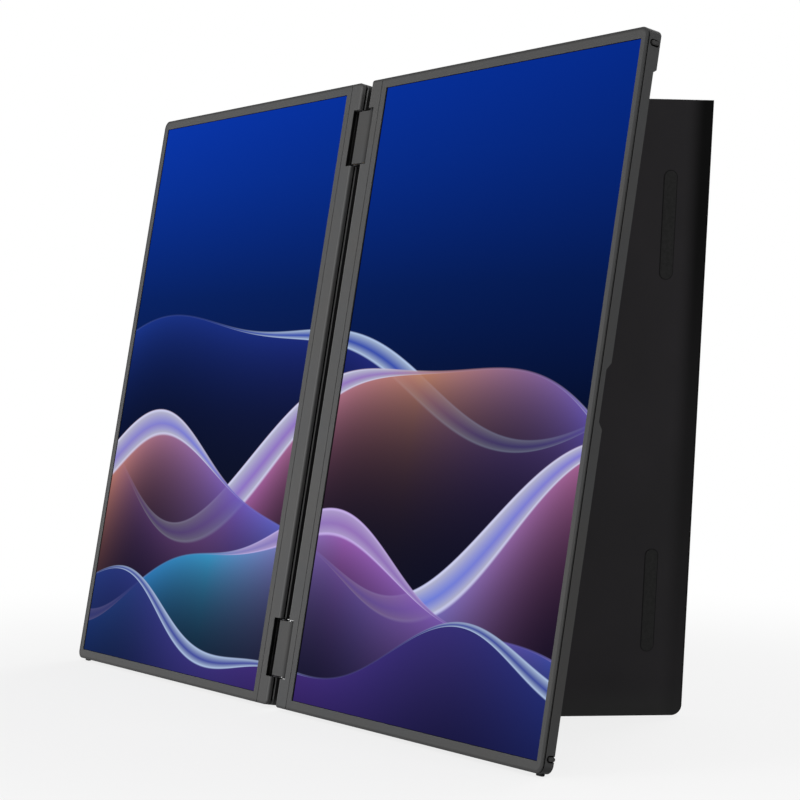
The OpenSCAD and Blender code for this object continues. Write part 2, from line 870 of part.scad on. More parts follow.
// Pads or their pockets on the outer side: gap around them and reach outwards.
module side_pad_shapes(gap, reach) {
    back_ys = [recess_y - pad_edge_gap, module_t - back_edge_r - pad_end_gap];
    front_y = rim_y + pad_front_gap;
    zs = [pad_inset, module_h - pad_inset];
    for (i = [0, 1]) {
        l = back_ys[i] - front_y;
        translate([outer_x - pocket_h, front_y + l / 2, zs[i]]) rotate([90, 0, 90])
            linear_extrude(pocket_h + reach)
                stadium(l + 2 * gap, pad_w + 2 * gap);
    }
}

module right_side_pads() {
    color([0.2, 0.2, 0.2]) standing() side_pad_shapes(0, pad_h);
}

// ---- left module ----

module left_bezel() {
    color([0.35, 0.35, 0.34]) standing() on_left() bezel();
}

module left_hinge_strip() {
    color([0.36, 0.36, 0.35]) standing() on_left() hinge_strip();
}

module left_display() {
    color([0.05, 0.12, 0.45]) standing() on_left() display();
}

module left_heat_spreader() {
    color([0.55, 0.42, 0.33]) standing() on_left() heat_spreader();
}

module left_chassis() {
    color([0.5, 0.5, 0.52]) standing() on_left() chassis(left_flex_x, left_flex_z);
}

// Hole through the side wall for a socket, w along z.
module socket_hole(z, w, t) {
    translate([outer_x - wall - over, port_y, z]) rotate([90, 0, 90])
        linear_extrude(wall + 2 * over)
            stadium(w + 2 * socket_gap, t + 2 * socket_gap, upright = true);
}

// Slot through the side wall for a button.
module button_slot(z) {
    translate([outer_x - wall - over, button_y, z]) rotate([90, 0, 90])
        linear_extrude(wall + 2 * over)
            stadium(button_l + 2 * button_slot_gap, button_w + 2 * button_slot_gap,
                upright = true);
}

// Back cover with the tripod socket, the side sockets and the button slots.
module left_back_cover() {
    boss_depths = [for (p = boss_points) inner_y];
    color([0.27, 0.27, 0.27]) standing() on_left() difference() {
        union() {
            difference() {
                cover_body();
                slab(rim_y - over, inner_y) cavity_outline();
            }
            bosses(boss_depths);
        }
        cover_cuts();
        boss_holes();
        for (z = usb_zs) socket_hole(z, usb_w, usb_t);
        socket_hole(hdmi_z, hdmi_w, hdmi_t);
        for (z = button_zs) button_slot(z);
        peg(tripod_x, tripod_z, tripod_nut_r, inner_y - over, module_t + over);
    }
}

module left_main_board() {
    connectors = [
        [(main_w - display_flex_w) / 2, main_h - connector_w - connector_inset,
            display_flex_w, connector_w, connector_t],
        [connector_inset, connector_inset, connector_w, flex_w, connector_h]
    ];
    color([0.05, 0.25, 0.15]) standing() on_left()
        board(main_x, main_z, main_w, main_h, concat(main_chips, connectors));
}

module left_display_flex() {
    color([0.45, 0.25, 0.08]) standing() on_left() mirror([0, 0, 1])
        display_flex(left_flex_x, -left_flex_z - flex_t, flex_step + connector_w);
}

module left_hinge_flex() {
    color([0.45, 0.25, 0.08]) standing() on_left() hinge_flex(main_x + connector_w);
}

module left_hinge_brackets() {
    color([0.6, 0.6, 0.62]) standing() on_left() hinge_brackets();
}

module left_hinge_shafts() {
    color([0.75, 0.75, 0.77]) standing() on_left() hinge_shafts();
}

module left_hinge_screws() {
    color([0.3, 0.3, 0.32]) standing() on_left() hinge_screws();
}

module left_cover_screws() {
    color([0.3, 0.3, 0.32]) standing() on_left() cover_screws();
}

module left_foot() {
    color([0.12, 0.12, 0.12]) standing() on_left() foot();
}

// Metal socket shell with a tongue, opening outwards at the side wall.
module socket(z, w, t, tongue_w) {
    translate([outer_x - socket_set - usb_depth, port_y, z]) rotate([90, 0, 90]) {
        difference() {
            linear_extrude(usb_depth) stadium(w, t, upright = true);
            translate([0, 0, usb_metal]) linear_extrude(usb_depth)
                stadium(w - 2 * usb_metal, t - 2 * usb_metal, upright = true);
        }
        linear_extrude(usb_metal + usb_tongue_l)
            square([usb_tongue_t, tongue_w], center = true);
    }
}

module usb_c_sockets() {
    color([0.6, 0.6, 0.62]) standing() on_left()
        for (z = usb_zs) socket(z, usb_w, usb_t, usb_tongue_w);
}

module mini_hdmi_socket() {
    color([0.6, 0.6, 0.62]) standing() on_left()
        socket(hdmi_z, hdmi_w, hdmi_t, hdmi_tongue_w);
}

// Narrow board with one side-push switch behind each button.
module key_board() {
    color([0.05, 0.25, 0.15]) standing() on_left() {
        block([key_board_x, board_y, key_board_z],
            [key_board_x + key_board_w, board_top, key_board_z + key_board_h]);
        for (z = [key_board_z + spacer_inset, key_board_z + key_board_h - spacer_inset])
            peg(key_board_x + spacer_inset, z, spacer_r, frame_y, board_y);
        for (z = button_zs)
            block([switch_face_x - switch_l, board_top, z - switch_half],
                [switch_face_x, button_y + button_w / 2, z + switch_half]);
    }
}

// Tripod nut, flanged behind the back wall, with a blind 1/4 inch socket.
module tripod_insert() {
    color([0.6, 0.55, 0.4]) standing() on_left() difference() {
        union() {
            peg(tripod_x, tripod_z, tripod_nut_r - tripod_play, frame_y + inner_gap, module_t);
            peg(tripod_x, tripod_z, tripod_flange_r, inner_y - tripod_flange_t, inner_y);
        }
        peg(tripod_x, tripod_z, tripod_r, module_t - tripod_depth, module_t + over);
    }
}

// Button cap with a flange behind the side wall.
module button(z) {
    translate([flange_back_x, button_y, z]) rotate([90, 0, 90]) {
        linear_extrude(outer_x + button_proud - flange_back_x)
            stadium(button_l, button_w, upright = true);
        linear_extrude(button_flange_t)
            stadium(button_l + 2 * button_flange_lap + 2 * button_slot_gap,
                button_w + 2 * button_flange_lap + 2 * button_slot_gap, upright = true);
    }
}

module power_button() {
    color([0.22, 0.22, 0.22]) standing() on_left() button(button_zs[0]);
}

module down_button() {
    color([0.22, 0.22, 0.22]) standing() on_left() button(button_zs[1]);
}

module up_button() {
    color([0.22, 0.22, 0.22]) standing() on_left() button(button_zs[2]);
}

// ---- hinge link ----

// Hinge block: a stadium bar with a bore at each axis.
module hinge_block(z) {
    difference() {
        bar(z - block_l / 2, z + block_l / 2)
            translate([0, axis_y]) stadium(2 * (axis_x + block_r), 2 * block_r);
        for (side = [-1, 1])
            translate([side * axis_x, axis_y, z - block_l]) cylinder(h = 2 * block_l, r = bush_r);
    }
}

module upper_hinge_block() {
    color([0.36, 0.36, 0.35]) standing() hinge_block(hinge_zs[1]);
}

// Lower block, with a slot that lets the flex pass behind the shafts.
module lower_hinge_block() {
    color([0.36, 0.36, 0.35]) standing() difference() {
        hinge_block(hinge_zs[0]);
        block([-axis_x - block_r - over, flex_y - flex_slot_h / 2 + flex_t / 2,
                lower_hinge_z - flex_slot_w / 2],
            [axis_x + block_r + over, flex_y + flex_slot_h / 2 + flex_t / 2,
                lower_hinge_z + flex_slot_w / 2]);
    }
}

// Friction bushes, two on each shaft in each block.
module hinge_bushes() {
    color([0.45, 0.42, 0.35]) standing()
        for (z = hinge_zs, side = [-1, 1], end = [-1, 1])
            translate([side * axis_x, axis_y, z + end * (block_l - bush_l) / 2 - bush_l / 2])
                difference() {
                    cylinder(h = bush_l, r = bush_r);
                    translate([0, 0, -over])
                        cylinder(h = bush_l + 2 * over, r = shaft_r + shaft_play);
                }
}

// Flex inside the lower block, from one axis to the other.
module hinge_block_flex() {
    color([0.45, 0.25, 0.08]) standing()
        block([-flex_reach, flex_y, lower_hinge_z - flex_w / 2],
            [flex_reach, flex_y + flex_t, lower_hinge_z + flex_w / 2]);
}

// ---- kickstand ----

// Fixed brackets with two knuckles each, hung from the back wall.
module kickstand_hinge_bases() {
    color([0.6, 0.6, 0.62]) standing() on_stand_axis() for (s = stand_hinge_ss) {
        difference() {
            union() {
                block([base_leaf_far, base_leaf_y - plate_y, s - base_pad_half],
                    [-recess_edge - well_t - base_leaf_gap, base_leaf_y + base_leaf_t - plate_y,
                        s + base_pad_half]);
                block([base_leaf_far, base_leaf_y + base_leaf_t - plate_y, s - base_pad_half],
                    [base_leaf_far + base_pad_w, inner_y - plate_y, s + base_pad_half]);
                for (side = [-1, 1]) {
                    low = s + side * knuckle_step - fixed_knuckle_l / 2;
                    translate([0, 0, low]) cylinder(h = fixed_knuckle_l, r = barrel_r);
                    block([-recess_edge - well_t - over, base_leaf_y - plate_y, low],
                        [0, base_leaf_y + base_leaf_t - plate_y, low + fixed_knuckle_l]);
                }
            }
            translate([0, 0, s - well_half]) cylinder(h = 2 * well_half, r = pin_r);
        }
    }
}

// Pins, fixed in the knuckles of the brackets.
module kickstand_pins() {
    half = knuckle_step + fixed_knuckle_l / 2;
    color([0.75, 0.75, 0.77]) standing() on_stand_axis() for (s = stand_hinge_ss)
        translate([0, 0, s - half]) cylinder(h = 2 * half, r = pin_r);
}

// Outline of the plate, from the hinge line to the outer edge.
module plate_outline() {
    intersection() {
        stand_side(0);
        union() {
            translate([0, desk_z + stand_corner_r])
                square([outer_x, stand_top - desk_z - stand_corner_r]);
            translate([0, desk_z]) square([outer_x - stand_corner_r, module_h / 2]);
            translate([outer_x - stand_corner_r, desk_z + stand_corner_r])
                circle(stand_corner_r);
        }
    }
}

// Plate with hinge cut-outs and a bevelled free edge.
module kickstand_plate() {
    color([0.1, 0.1, 0.1]) standing() stand_open() difference() {
        slab(plate_y, plate_y + stand_t) plate_outline();
        on_stand_axis() for (s = stand_hinge_ss) {
            block([-barrel_r - over, -over, s - well_half],
                [barrel_r + stand_margin, barrel_r + over, s + well_half]);
            for (side = [-1, 1])
                translate([plate_screw_u, -over, s + side * plate_screw_offset])
                    rotate([-90, 0, 0])
                        cylinder(h = over + plate_screw_l + screw_end_gap,
                            r = screw_r + screw_fit);
        }
        translate([outer_x - stand_bevel_low, plate_y, desk_z]) rotate([0, -stand_bevel_slant, 0])
            rotate([0, 0, atan(stand_bevel_h / stand_bevel_top)])
                block([0, -stand_t, -stand_bevel_top],
                    [2 * stand_bevel_top, 0, stand_top - desk_z + stand_bevel_top]);
    }
}

// Moving leaves with one knuckle each, screwed to the plate.
module kickstand_hinge_leaves() {
    color([0.6, 0.6, 0.62]) standing() stand_open() on_stand_axis()
        for (s = stand_hinge_ss) difference() {
            union() {
                translate([0, 0, s - knuckle_l / 2]) cylinder(h = knuckle_l, r = barrel_r);
                block([0, -moving_leaf_t, s - knuckle_l / 2],
                    [moving_leaf_w, 0, s + knuckle_l / 2]);
            }
            translate([0, 0, s - knuckle_l]) cylinder(h = 2 * knuckle_l, r = pin_r + pin_play);
            for (side = [-1, 1])
                translate([plate_screw_u, -2 * moving_leaf_t, s + side * plate_screw_offset])
                    rotate([-90, 0, 0]) cylinder(h = 3 * moving_leaf_t, r = screw_hole_r);
        }
}

// Screws that hold the leaves to the plate.
module kickstand_screws() {
    color([0.3, 0.3, 0.32]) standing() stand_open() on_stand_axis()
        for (s = stand_hinge_ss, side = [-1, 1])
            translate([plate_screw_u, 0, s + side * plate_screw_offset]) {
                translate([0, -moving_leaf_t - plate_screw_head_t, 0]) rotate([-90, 0, 0])
                    cylinder(h = plate_screw_head_t, r = plate_screw_head_r);
                translate([0, -moving_leaf_t, 0]) rotate([-90, 0, 0])
                    cylinder(h = moving_leaf_t + plate_screw_l, r = screw_r);
            }
}

// Grip strips on the plate's inner face.
module kickstand_grip_strips() {
    color([0.14, 0.14, 0.14]) standing() stand_open() slab(plate_y - strip_pad_t, plate_y)
        for (side = [-1, 1])
            translate([outer_x - strip_pad_inset, stand_middle_z + side * strip_pad_offset])
                stadium(strip_pad_l, strip_pad_w, upright = true);
}

right_bezel();
right_hinge_strip();
right_display();
right_heat_spreader();
right_chassis();
right_back_cover();
right_driver_board();
right_display_flex();
right_hinge_flex();
right_hinge_brackets();
right_hinge_shafts();
right_hinge_screws();
right_cover_screws();
right_foot();
right_side_pads();
left_bezel();
left_hinge_strip();
left_display();
left_heat_spreader();
left_chassis();
left_back_cover();
left_main_board();
left_display_flex();
left_hinge_flex();
left_hinge_brackets();
left_hinge_shafts();
left_hinge_screws();
left_cover_screws();
left_foot();
usb_c_sockets();
mini_hdmi_socket();
key_board();
tripod_insert();
power_button();
up_button();
down_button();
upper_hinge_block();
lower_hinge_block();
hinge_bushes();
hinge_block_flex();
kickstand_hinge_bases();
kickstand_pins();
kickstand_plate();
kickstand_hinge_leaves();
kickstand_screws();
kickstand_grip_strips();
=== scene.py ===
# %% [markdown]
# # A folding two-screen extender
#
# Two upright screens hang side by side on a pair of hinge blocks, and a slanted plate
# on the back props them up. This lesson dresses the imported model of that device: it
# keeps the engineered solids, rounds the edges that a hand would feel, and gives each
# surface the finish that it has on a real device.

import json
import math

import bmesh
import bpy
from mathutils import Matrix, Vector

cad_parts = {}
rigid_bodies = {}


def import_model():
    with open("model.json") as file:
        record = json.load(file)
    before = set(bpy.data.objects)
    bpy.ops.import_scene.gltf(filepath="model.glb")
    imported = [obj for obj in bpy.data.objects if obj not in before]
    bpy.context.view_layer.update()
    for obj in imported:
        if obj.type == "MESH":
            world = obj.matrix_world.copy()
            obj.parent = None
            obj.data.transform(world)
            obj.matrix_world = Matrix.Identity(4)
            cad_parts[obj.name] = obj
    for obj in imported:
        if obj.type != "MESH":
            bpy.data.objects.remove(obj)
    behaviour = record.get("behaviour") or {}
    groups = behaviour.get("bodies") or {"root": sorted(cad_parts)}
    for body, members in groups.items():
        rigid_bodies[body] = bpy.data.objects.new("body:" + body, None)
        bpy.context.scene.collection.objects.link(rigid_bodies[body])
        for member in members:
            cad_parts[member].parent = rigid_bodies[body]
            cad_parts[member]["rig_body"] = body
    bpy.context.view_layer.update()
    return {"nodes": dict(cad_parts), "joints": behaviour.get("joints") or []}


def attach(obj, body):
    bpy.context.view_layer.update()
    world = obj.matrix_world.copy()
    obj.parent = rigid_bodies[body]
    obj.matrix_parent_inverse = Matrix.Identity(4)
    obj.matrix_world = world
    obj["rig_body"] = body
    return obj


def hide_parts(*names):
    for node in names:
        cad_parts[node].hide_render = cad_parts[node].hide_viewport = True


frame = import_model()

# %% [markdown]
# ## Directions on the panels
#
# The screens lean back a little, so the world's axes don't run along them. Everything
# on the screens is easier to place with three directions of their own: across, towards
# the back, and up the panels. They could be typed as an angle, but the hinge axis
# already points up the panels, so they come from it and follow it if it changes.

# %% Axes and origin of the panels
MM = 0.001
JOINTS = {joint["name"]: joint for joint in frame["joints"]}
MODULE_HINGE = JOINTS["left_hinge_axis"]
ACROSS = Vector((1, 0, 0))
UP = Vector(MODULE_HINGE["axis"])
BACK = UP.cross(ACROSS)
AXIS_X, AXIS_DEPTH, MIDDLE = 4.0, 3.8, 156.45  # mm from the gap, the front and the bottom
PANEL_HEIGHT = 2 * MIDDLE
FROM_AXIS = MM * (AXIS_X * ACROSS - AXIS_DEPTH * BACK - MIDDLE * UP)
ORIGIN = Vector(MODULE_HINGE["pos_m"]) + FROM_AXIS


def on_panel(x, depth, height):
    """A point given in millimetres on the panels, in metres in the model's frame."""
    return ORIGIN + MM * (x * ACROSS + depth * BACK + height * UP)


print("lean of the panels:", round(math.degrees(math.atan2(UP.y, UP.z)), 2), "degrees")

# %% [markdown]
# ## Putting things in the scene
#
# A shape made in code is a mesh, and a mesh is seen once an object carries it in the
# scene's collection. Two helpers do both steps, so that the cells below can be about
# the shapes. BMesh is the part of Blender that edits a mesh as points, edges and faces.

# %% Helpers for objects and meshes
def put(name, data):
    """A new object in the scene."""
    thing = bpy.data.objects.new(name, data)
    bpy.context.scene.collection.objects.link(thing)
    return thing


def mesh_from(shape, name, finish):
    """A mesh with one finish from a BMesh, which is freed."""
    mesh = bpy.data.meshes.new(name)
    shape.to_mesh(mesh)
    shape.free()
    mesh.materials.append(finish)
    return mesh


print("mesh helpers ready")

# %% [markdown]
# ## The camera
#
# A product like this is shown from the right and from a little distance, with a long
# lens, so that the upright edges stay almost parallel. A camera that points straight
# down is tilted up until it looks nearly level, then turned to its heading, and last
# rolled by half a degree, as a camera held by hand is.

# %% Camera
LENS, SENSOR = 95.182, 36.0  # mm
EYE = Vector((0.881969, -0.612257, 0.161378))  # m
HEADING, TILT, ROLL = (math.radians(angle) for angle in (55.4472, 89.4286, 0.4508))

camera = put("camera", bpy.data.cameras.new("camera"))
camera.data.lens = LENS
camera.data.sensor_width = SENSOR
turn = Matrix.Rotation(HEADING, 4, "Z") @ Matrix.Rotation(TILT, 4, "X")
camera.matrix_world = Matrix.Translation(EYE) @ turn @ Matrix.Rotation(ROLL, 4, "Z")
bpy.context.scene.camera = camera
print("camera looks along", [round(-v, 3) for v in camera.matrix_world.col[2].xyz])

# %% [markdown]
# ## Writing shaders as arithmetic
#
# A node tree is a formula drawn as boxes. It could be wired by hand, but the class
# below wraps one socket of a node and lets Python's own operators add the Math nodes.
# A mask then reads as `1 - edge`, and the product of two masks is where both hold.

# %% Wires
NOISE_MEAN = 0.5


class Wire:
    """One output socket, with the operators that shader maths needs."""

    def __init__(self, graph, socket):
        self.graph = graph
        self.socket = socket

    def math(self, operation, *others):
        return self.graph.node("ShaderNodeMath", (self, *others), operation=operation)

    def reflected(self, operation, first):
        return self.graph.node("ShaderNodeMath", (first, self), operation=operation)

    def __add__(self, other):
        return self.math("ADD", other)

    def __mul__(self, other):
        return self.math("MULTIPLY", other)

    def __sub__(self, other):
        return self.math("SUBTRACT", other)

    def __truediv__(self, other):
        return self.math("DIVIDE", other)

    __radd__ = __add__
    __rmul__ = __mul__

    def __rsub__(self, other):
        return self.reflected("SUBTRACT", other)

    def __rtruediv__(self, other):
        return self.reflected("DIVIDE", other)

    def either(self, other):
        """The greater of two masks: where one or the other holds."""
        return self.math("MAXIMUM", other)

    def step(self, low, high):
        """0 below low, 1 above high, and a smooth rise between them."""
        inputs = {"Value": self, "From Min": low, "From Max": high}
        return self.graph.node("ShaderNodeMapRange", inputs, interpolation_type="SMOOTHSTEP")

    def wave(self):
        """The sine of this angle, brought between 0 and 1."""
        return (self.math("SINE") + 1.0) / 2.0

    def swing(self, amount):
        """Noise as a swing of this much about zero."""
        return (self - NOISE_MEAN) * amount


print("operators ready: + - * /")

# %% [markdown]
# ## One way to add a node
#
# Every node that isn't plain arithmetic comes from one method. It takes the node's
# type, what goes into its sockets, and its settings, which have to be set first,
# because they can change which sockets the node has. A Mix node, for one, has a set of
# sockets for numbers and another for colours, which is why its sockets go by number.

# %% Graphs
MIX_FACTOR, MIX_BELOW, MIX_ABOVE, MIX_RESULT = 0, 6, 7, 2  # a Mix node's colour sockets


class Graph:
    """A node tree, and the few kinds of node that the lesson uses often."""

    def __init__(self, tree):
        self.tree = tree

    def node(self, kind, inputs, out=0, stops=None, **settings):
        made = self.tree.nodes.new(kind)
        for name, value in settings.items():
            setattr(made, name, value)
        if stops:
            elements = made.color_ramp.elements
            for position, _ in stops[1:-1]:
                elements.new(position)
            for element, (position, colour) in zip(elements, stops):
                element.position = position
                element.color = (*colour, 1)
        named = inputs if isinstance(inputs, dict) else dict(enumerate(inputs))
        for key, value in named.items():
            self.feed(made.inputs[key], value)
        return Wire(self, made.outputs[out])

    def feed(self, socket, value):
        """Links a wire to a socket, or sets a plain value on it."""
        if isinstance(value, Wire):
            self.tree.links.new(value.socket, socket)
        else:
            socket.default_value = value

    def mix(self, mask, below, above, blend="MIX"):
        """Colour above over colour below, by mask."""
        below, above = [c if isinstance(c, Wire) else (*c, 1) for c in (below, above)]
        inputs = {MIX_FACTOR: mask, MIX_BELOW: below, MIX_ABOVE: above}
        return self.node(
            "ShaderNodeMix", inputs, out=MIX_RESULT, data_type="RGBA", blend_type=blend)

    def grey(self, tone):
        """A grey colour from one number."""
        return self.node("ShaderNodeCombineColor", (tone, tone, tone))

    def ramp(self, value, stops):
        """A colour from a number, by stops of position and colour."""
        return self.node("ShaderNodeValToRGB", (value,), stops=stops)

    def seen_directly(self):
        """1 for the camera's rays, and for those that reach it off metal or through glass."""
        rays = [self.node("ShaderNodeLightPath", {}, out=f"Is {kind} Ray")
                for kind in ("Camera", "Glossy", "Transmission")]
        return rays[0].either(rays[1]).either(rays[2])


print("graph tools ready")

# %% [markdown]
# ## A finish is a graph with one surface
#
# Each material here is one Principled surface. What is the same all over it is set on
# its sockets, and what varies is driven by a wire. Patterns are placed by the point
# being shaded, in the model's own frame, so they stay on a piece when it swings, and
# they can be given in the same millimetres as the part.

# %% Finishes
class Finish(Graph):
    """A material with one Principled surface, and the means to drive its sockets."""

    def __init__(self, name, **constants):
        self.material = bpy.data.materials.new(name)
        self.material.use_nodes = True
        super().__init__(self.material.node_tree)
        self.surface = self.tree.nodes["Principled BSDF"]
        self.drive(**constants)

    def drive(self, **inputs):
        """Feeds the surface's sockets, named with _ for a space, and gives the material."""
        for name, value in inputs.items():
            self.feed(self.surface.inputs[name.replace("_", " ")], value)
        return self.material

    def place(self):
        """The point being shaded, in the model's frame at rest, in metres."""
        return self.node("ShaderNodeTexCoord", {}, out="Object")

    def along(self, direction, origin=ORIGIN):
        """How far the point lies from origin along a direction, in millimetres."""
        points = (self.place(), tuple(origin))
        offset = self.node("ShaderNodeVectorMath", points, operation="SUBTRACT")
        per_mm = (offset, tuple(direction / MM))
        return self.node("ShaderNodeVectorMath", per_mm, out="Value", operation="DOT_PRODUCT")

    def noise(self, size, detail=2.0, rough=0.5, stretch=None):
        """Noise with features of about this size in millimetres, finer along a stretch."""
        where = self.place()
        if stretch:
            where = self.node("ShaderNodeVectorMath", (where, stretch), operation="MULTIPLY")
        inputs = {"Vector": where, "Scale": 1 / (size * MM), "Detail": detail, "Roughness": rough}
        return self.node("ShaderNodeTexNoise", inputs)

    def bump(self, height, depth, strength):
        """A normal from a height between 0 and 1, worth this many millimetres."""
        inputs = {"Strength": strength, "Distance": depth * MM, "Height": height}
        return self.node("ShaderNodeBump", inputs)


def tinted(shade, tint=(1, 1, 1)):
    """A grey of this linear shade, or one that leans to a tint."""
    return [shade * channel for channel in tint]


print("finish tools ready")

# %% [markdown]
# ## Moulded grey housings
#
# The bezels, strips and hinge blocks are moulded and lightly spark-eroded: a fine even grain that
# scatters light, so they look like soft grey card rather than glossy plastic. A plain grey would
# look like a drawing, so the colour varies a little over centimetres, the roughness over
# millimetres, and the grain is a bump. Where two parts meet, a groove falls into shade, so each
# finish can take masks that paint that shade into its grooves, that paint highlights where an
# edge catches the light, and that paint shade on the edge that rolls away from the light.

# %% Spark-eroded plastic
CLOUD, SPECK, GRAIN, GRAIN_DEPTH = 38.0, 0.35, 0.16, 0.02  # mm
CLOUD_EDGE = (0.35, 0.65)
WARM, COOL = (1.015, 1.0, 0.985), (0.985, 1.0, 1.02)
SPECK_SHARE, CLOUD_GLOSS, SPECK_GLOSS = 0.8, 0.12, 0.1
HIGHLIGHT_TONE, ROLLED_TONE, PAINTED_SHADE = 4.0, 0.25, 0.004  # times the shade, but the painted shade in grooves has its own
ROLLED_SHARE, ROLLED_DULL = 0.65, 0.6
MATT_GLOSS, GRAIN_STRENGTH = 0.12, 0.7


def eroded_plastic(name, shade, spread, roughness, grooves=None, wear_and_highlight=None, outline=None):
    """Matt moulded plastic of this linear shade, with painted shade in its grooves and painted
    highlights where an edge catches the light.
    """
    finish = Finish(name, Specular_IOR_Level=MATT_GLOSS)
    cloud = finish.noise(CLOUD, detail=3.0)
    speck = finish.noise(SPECK, detail=1.0)
    tone = cloud.swing(spread) + speck.swing(spread * SPECK_SHARE) + 1.0
    colour = finish.mix(cloud.step(*CLOUD_EDGE), tinted(shade, WARM), tinted(shade, COOL))
    colour = finish.mix(1.0, colour, finish.grey(tone), "MULTIPLY")
    dull = 0.0
    if wear_and_highlight:
        # painted highlight: lighter colour where an edge catches the light
        colour = finish.mix(wear_and_highlight(finish), colour, tinted(shade * HIGHLIGHT_TONE))
    if outline:
        rolled = outline(finish)
        colour = finish.mix(rolled * ROLLED_SHARE, colour, tinted(shade * ROLLED_TONE))
        dull = rolled * ROLLED_DULL
    if grooves:
        groove_shade = grooves(finish)
        # painted shade: near-black in the grooves, where shade falls between parts
        colour = finish.mix(groove_shade, colour, tinted(PAINTED_SHADE))
        finish.drive(Metallic=groove_shade.either(dull))  # Metallic over the painted black takes away the gloss, so the painted shade stays dark
    gloss = roughness + cloud.swing(CLOUD_GLOSS) + speck.swing(SPECK_GLOSS)
    grains = finish.bump(finish.noise(GRAIN), GRAIN_DEPTH, GRAIN_STRENGTH)
    return finish.drive(Base_Color=colour, Roughness=gloss, Normal=grains)


print("eroded plastic: grain", GRAIN, "mm")

# %% Edges that hands have polished
PATCH, PATCH_DEPTH = 7.0, 0.01  # mm
PATCH_DETAIL, PATCH_ROUGH, PATCH_EDGE, PATCH_STRENGTH = 4.0, 0.6, (0.38, 0.66), 0.4
PATCH_GLOSS, EDGE_GLOSS = 0.18, 0.16
EDGE_TONE, EDGE_SHARE = 0.1, 0.8


def worn_edge(name, shade, wear_and_highlight, roughness, outline=None):
    """The same plastic where hands have polished it: lighter and smoother in patches, with
    painted shade along an outline.
    """
    finish = Finish(name, Specular_IOR_Level=EDGE_GLOSS)
    patches = finish.noise(PATCH, PATCH_DETAIL, PATCH_ROUGH).step(*PATCH_EDGE)
    colour = finish.mix(patches, tinted(shade), tinted(wear_and_highlight))
    if outline:
        # painted shade: the edges are darkened along a module's outline
        colour = finish.mix(outline(finish) * EDGE_SHARE, colour, tinted(shade * EDGE_TONE))
    normal = finish.bump(patches, PATCH_DEPTH, PATCH_STRENGTH)
    gloss = roughness - patches * PATCH_GLOSS
    return finish.drive(Base_Color=colour, Roughness=gloss, Normal=normal)


print("worn edge: patches of", PATCH, "mm")

# %% [markdown]
# ## Where the modules' edges are
#
# The dark and light places on the housings follow their outlines, so the masks need
# distances: from the hinge gap, from half the height, and inward from an outline with
# round corners. They could be painted on a picture, but a formula stays sharp at any
# distance and needs no picture.

# %% Distances on the modules
SIDE, CORNER, HINGE_SIDE, HINGE_CORNER = 212.05, 4.2, 4.0, 2.4  # mm: a module's outline
FLANK_ROLL = 0.4  # mm: how much wider an edge rolls along the flanks than at the ends
SOFT = 0.05  # mm


def between(value, low, high, soft=SOFT):
    """1 between low and high, with soft ends."""
    return value.step(low - soft, low) * (1.0 - value.step(high, high + soft))


def off_middle(finish):
    """Distance from the middle of the hinge gap, on either side."""
    return finish.along(ACROSS).math("ABSOLUTE")


def from_middle(finish):
    """Distance from half the panels' height, up or down."""
    return (finish.along(UP) - MIDDLE).math("ABSOLUTE")


def inward(finish, flank, radius):
    """How far inside a round outline, from the distance past a flank's corner centres."""
    end = (from_middle(finish) - (MIDDLE - radius)).math("MAXIMUM", 0.0)
    flank = flank.math("MAXIMUM", 0.0)
    return radius - (flank * flank + end * end).math("SQRT")


def inside_outer(finish):
    """Distance inward from a module's outer flank and its corners."""
    return inward(finish, off_middle(finish) - (SIDE - FLANK_ROLL - CORNER), CORNER)


def inside_hinge(finish):
    """Distance inward from a module's hinge side and its corners."""
    return inward(finish, (HINGE_SIDE + HINGE_CORNER) - off_middle(finish), HINGE_CORNER)


print("a module is", round(SIDE - HINGE_SIDE, 2), "x", PANEL_HEIGHT, "mm")

# %% [markdown]
# ## Edges that roll away from the light
#
# A moulded edge is never a crease: it rolls over a millimetre or so, and as it turns
# from the lamps it darkens. The rounding alone gives this only where a lamp is near,
# so the finish darkens the roll too.

# %% Rolled edges, with painted shade and painted highlights
BEZEL_ROLL, STRIP_ROLL, ROLL_FADE = 0.7, 0.6, 1.0  # mm inward, and how softly they end
# the strip values place a painted highlight on the rounded side of the trim strips
STRIP_HIGHLIGHT, STRIP_HIGHLIGHT_SOFT, STRIP_HIGHLIGHT_SHARE = (4.4, 5.0), 0.3, 0.2  # mm off the middle
END_WALL = (151.8, 155.4)  # mm from half the height
THICKNESS, COVER_FADE = 7.6, 0.2  # mm


def bezel_outline(finish):
    """The edge of a bezel, all round."""
    return 1.0 - inside_outer(finish).step(BEZEL_ROLL, BEZEL_ROLL + ROLL_FADE)


def strip_outline(finish):
    """The edge of a trim strip, at its two ends only."""
    rolled = 1.0 - inside_hinge(finish).step(STRIP_ROLL, STRIP_ROLL + ROLL_FADE)
    end = MIDDLE - HINGE_CORNER
    return rolled * from_middle(finish).step(end, end + ROLL_FADE)


def strip_highlight(finish):
    """A painted highlight on the rounded side of a trim strip, which catches a little more light.
    """
    return between(off_middle(finish), *STRIP_HIGHLIGHT, STRIP_HIGHLIGHT_SOFT) * STRIP_HIGHLIGHT_SHARE


def cover_ends(finish):
    """Painted shade on the walls at both ends of a module, which face away from the lamps."""
    wall = 1.0 - finish.along(BACK).step(THICKNESS - COVER_FADE, THICKNESS)
    return from_middle(finish).step(*END_WALL) * wall


print("bezels roll over", BEZEL_ROLL, "to", BEZEL_ROLL + ROLL_FADE, "mm")

# %% [markdown]
# ## Shade in the grooves
#
# A few places fall into shade on a real device, and the finishes paint that shade near-black: the
# shadow line under the bezel's lip, the strips' back edges, the notches around the hinge blocks,
# the hollows that hold the side pads, the front of the covers' rim, and the two walls that face
# each other across the hinge. Each is described by its place on the panels.

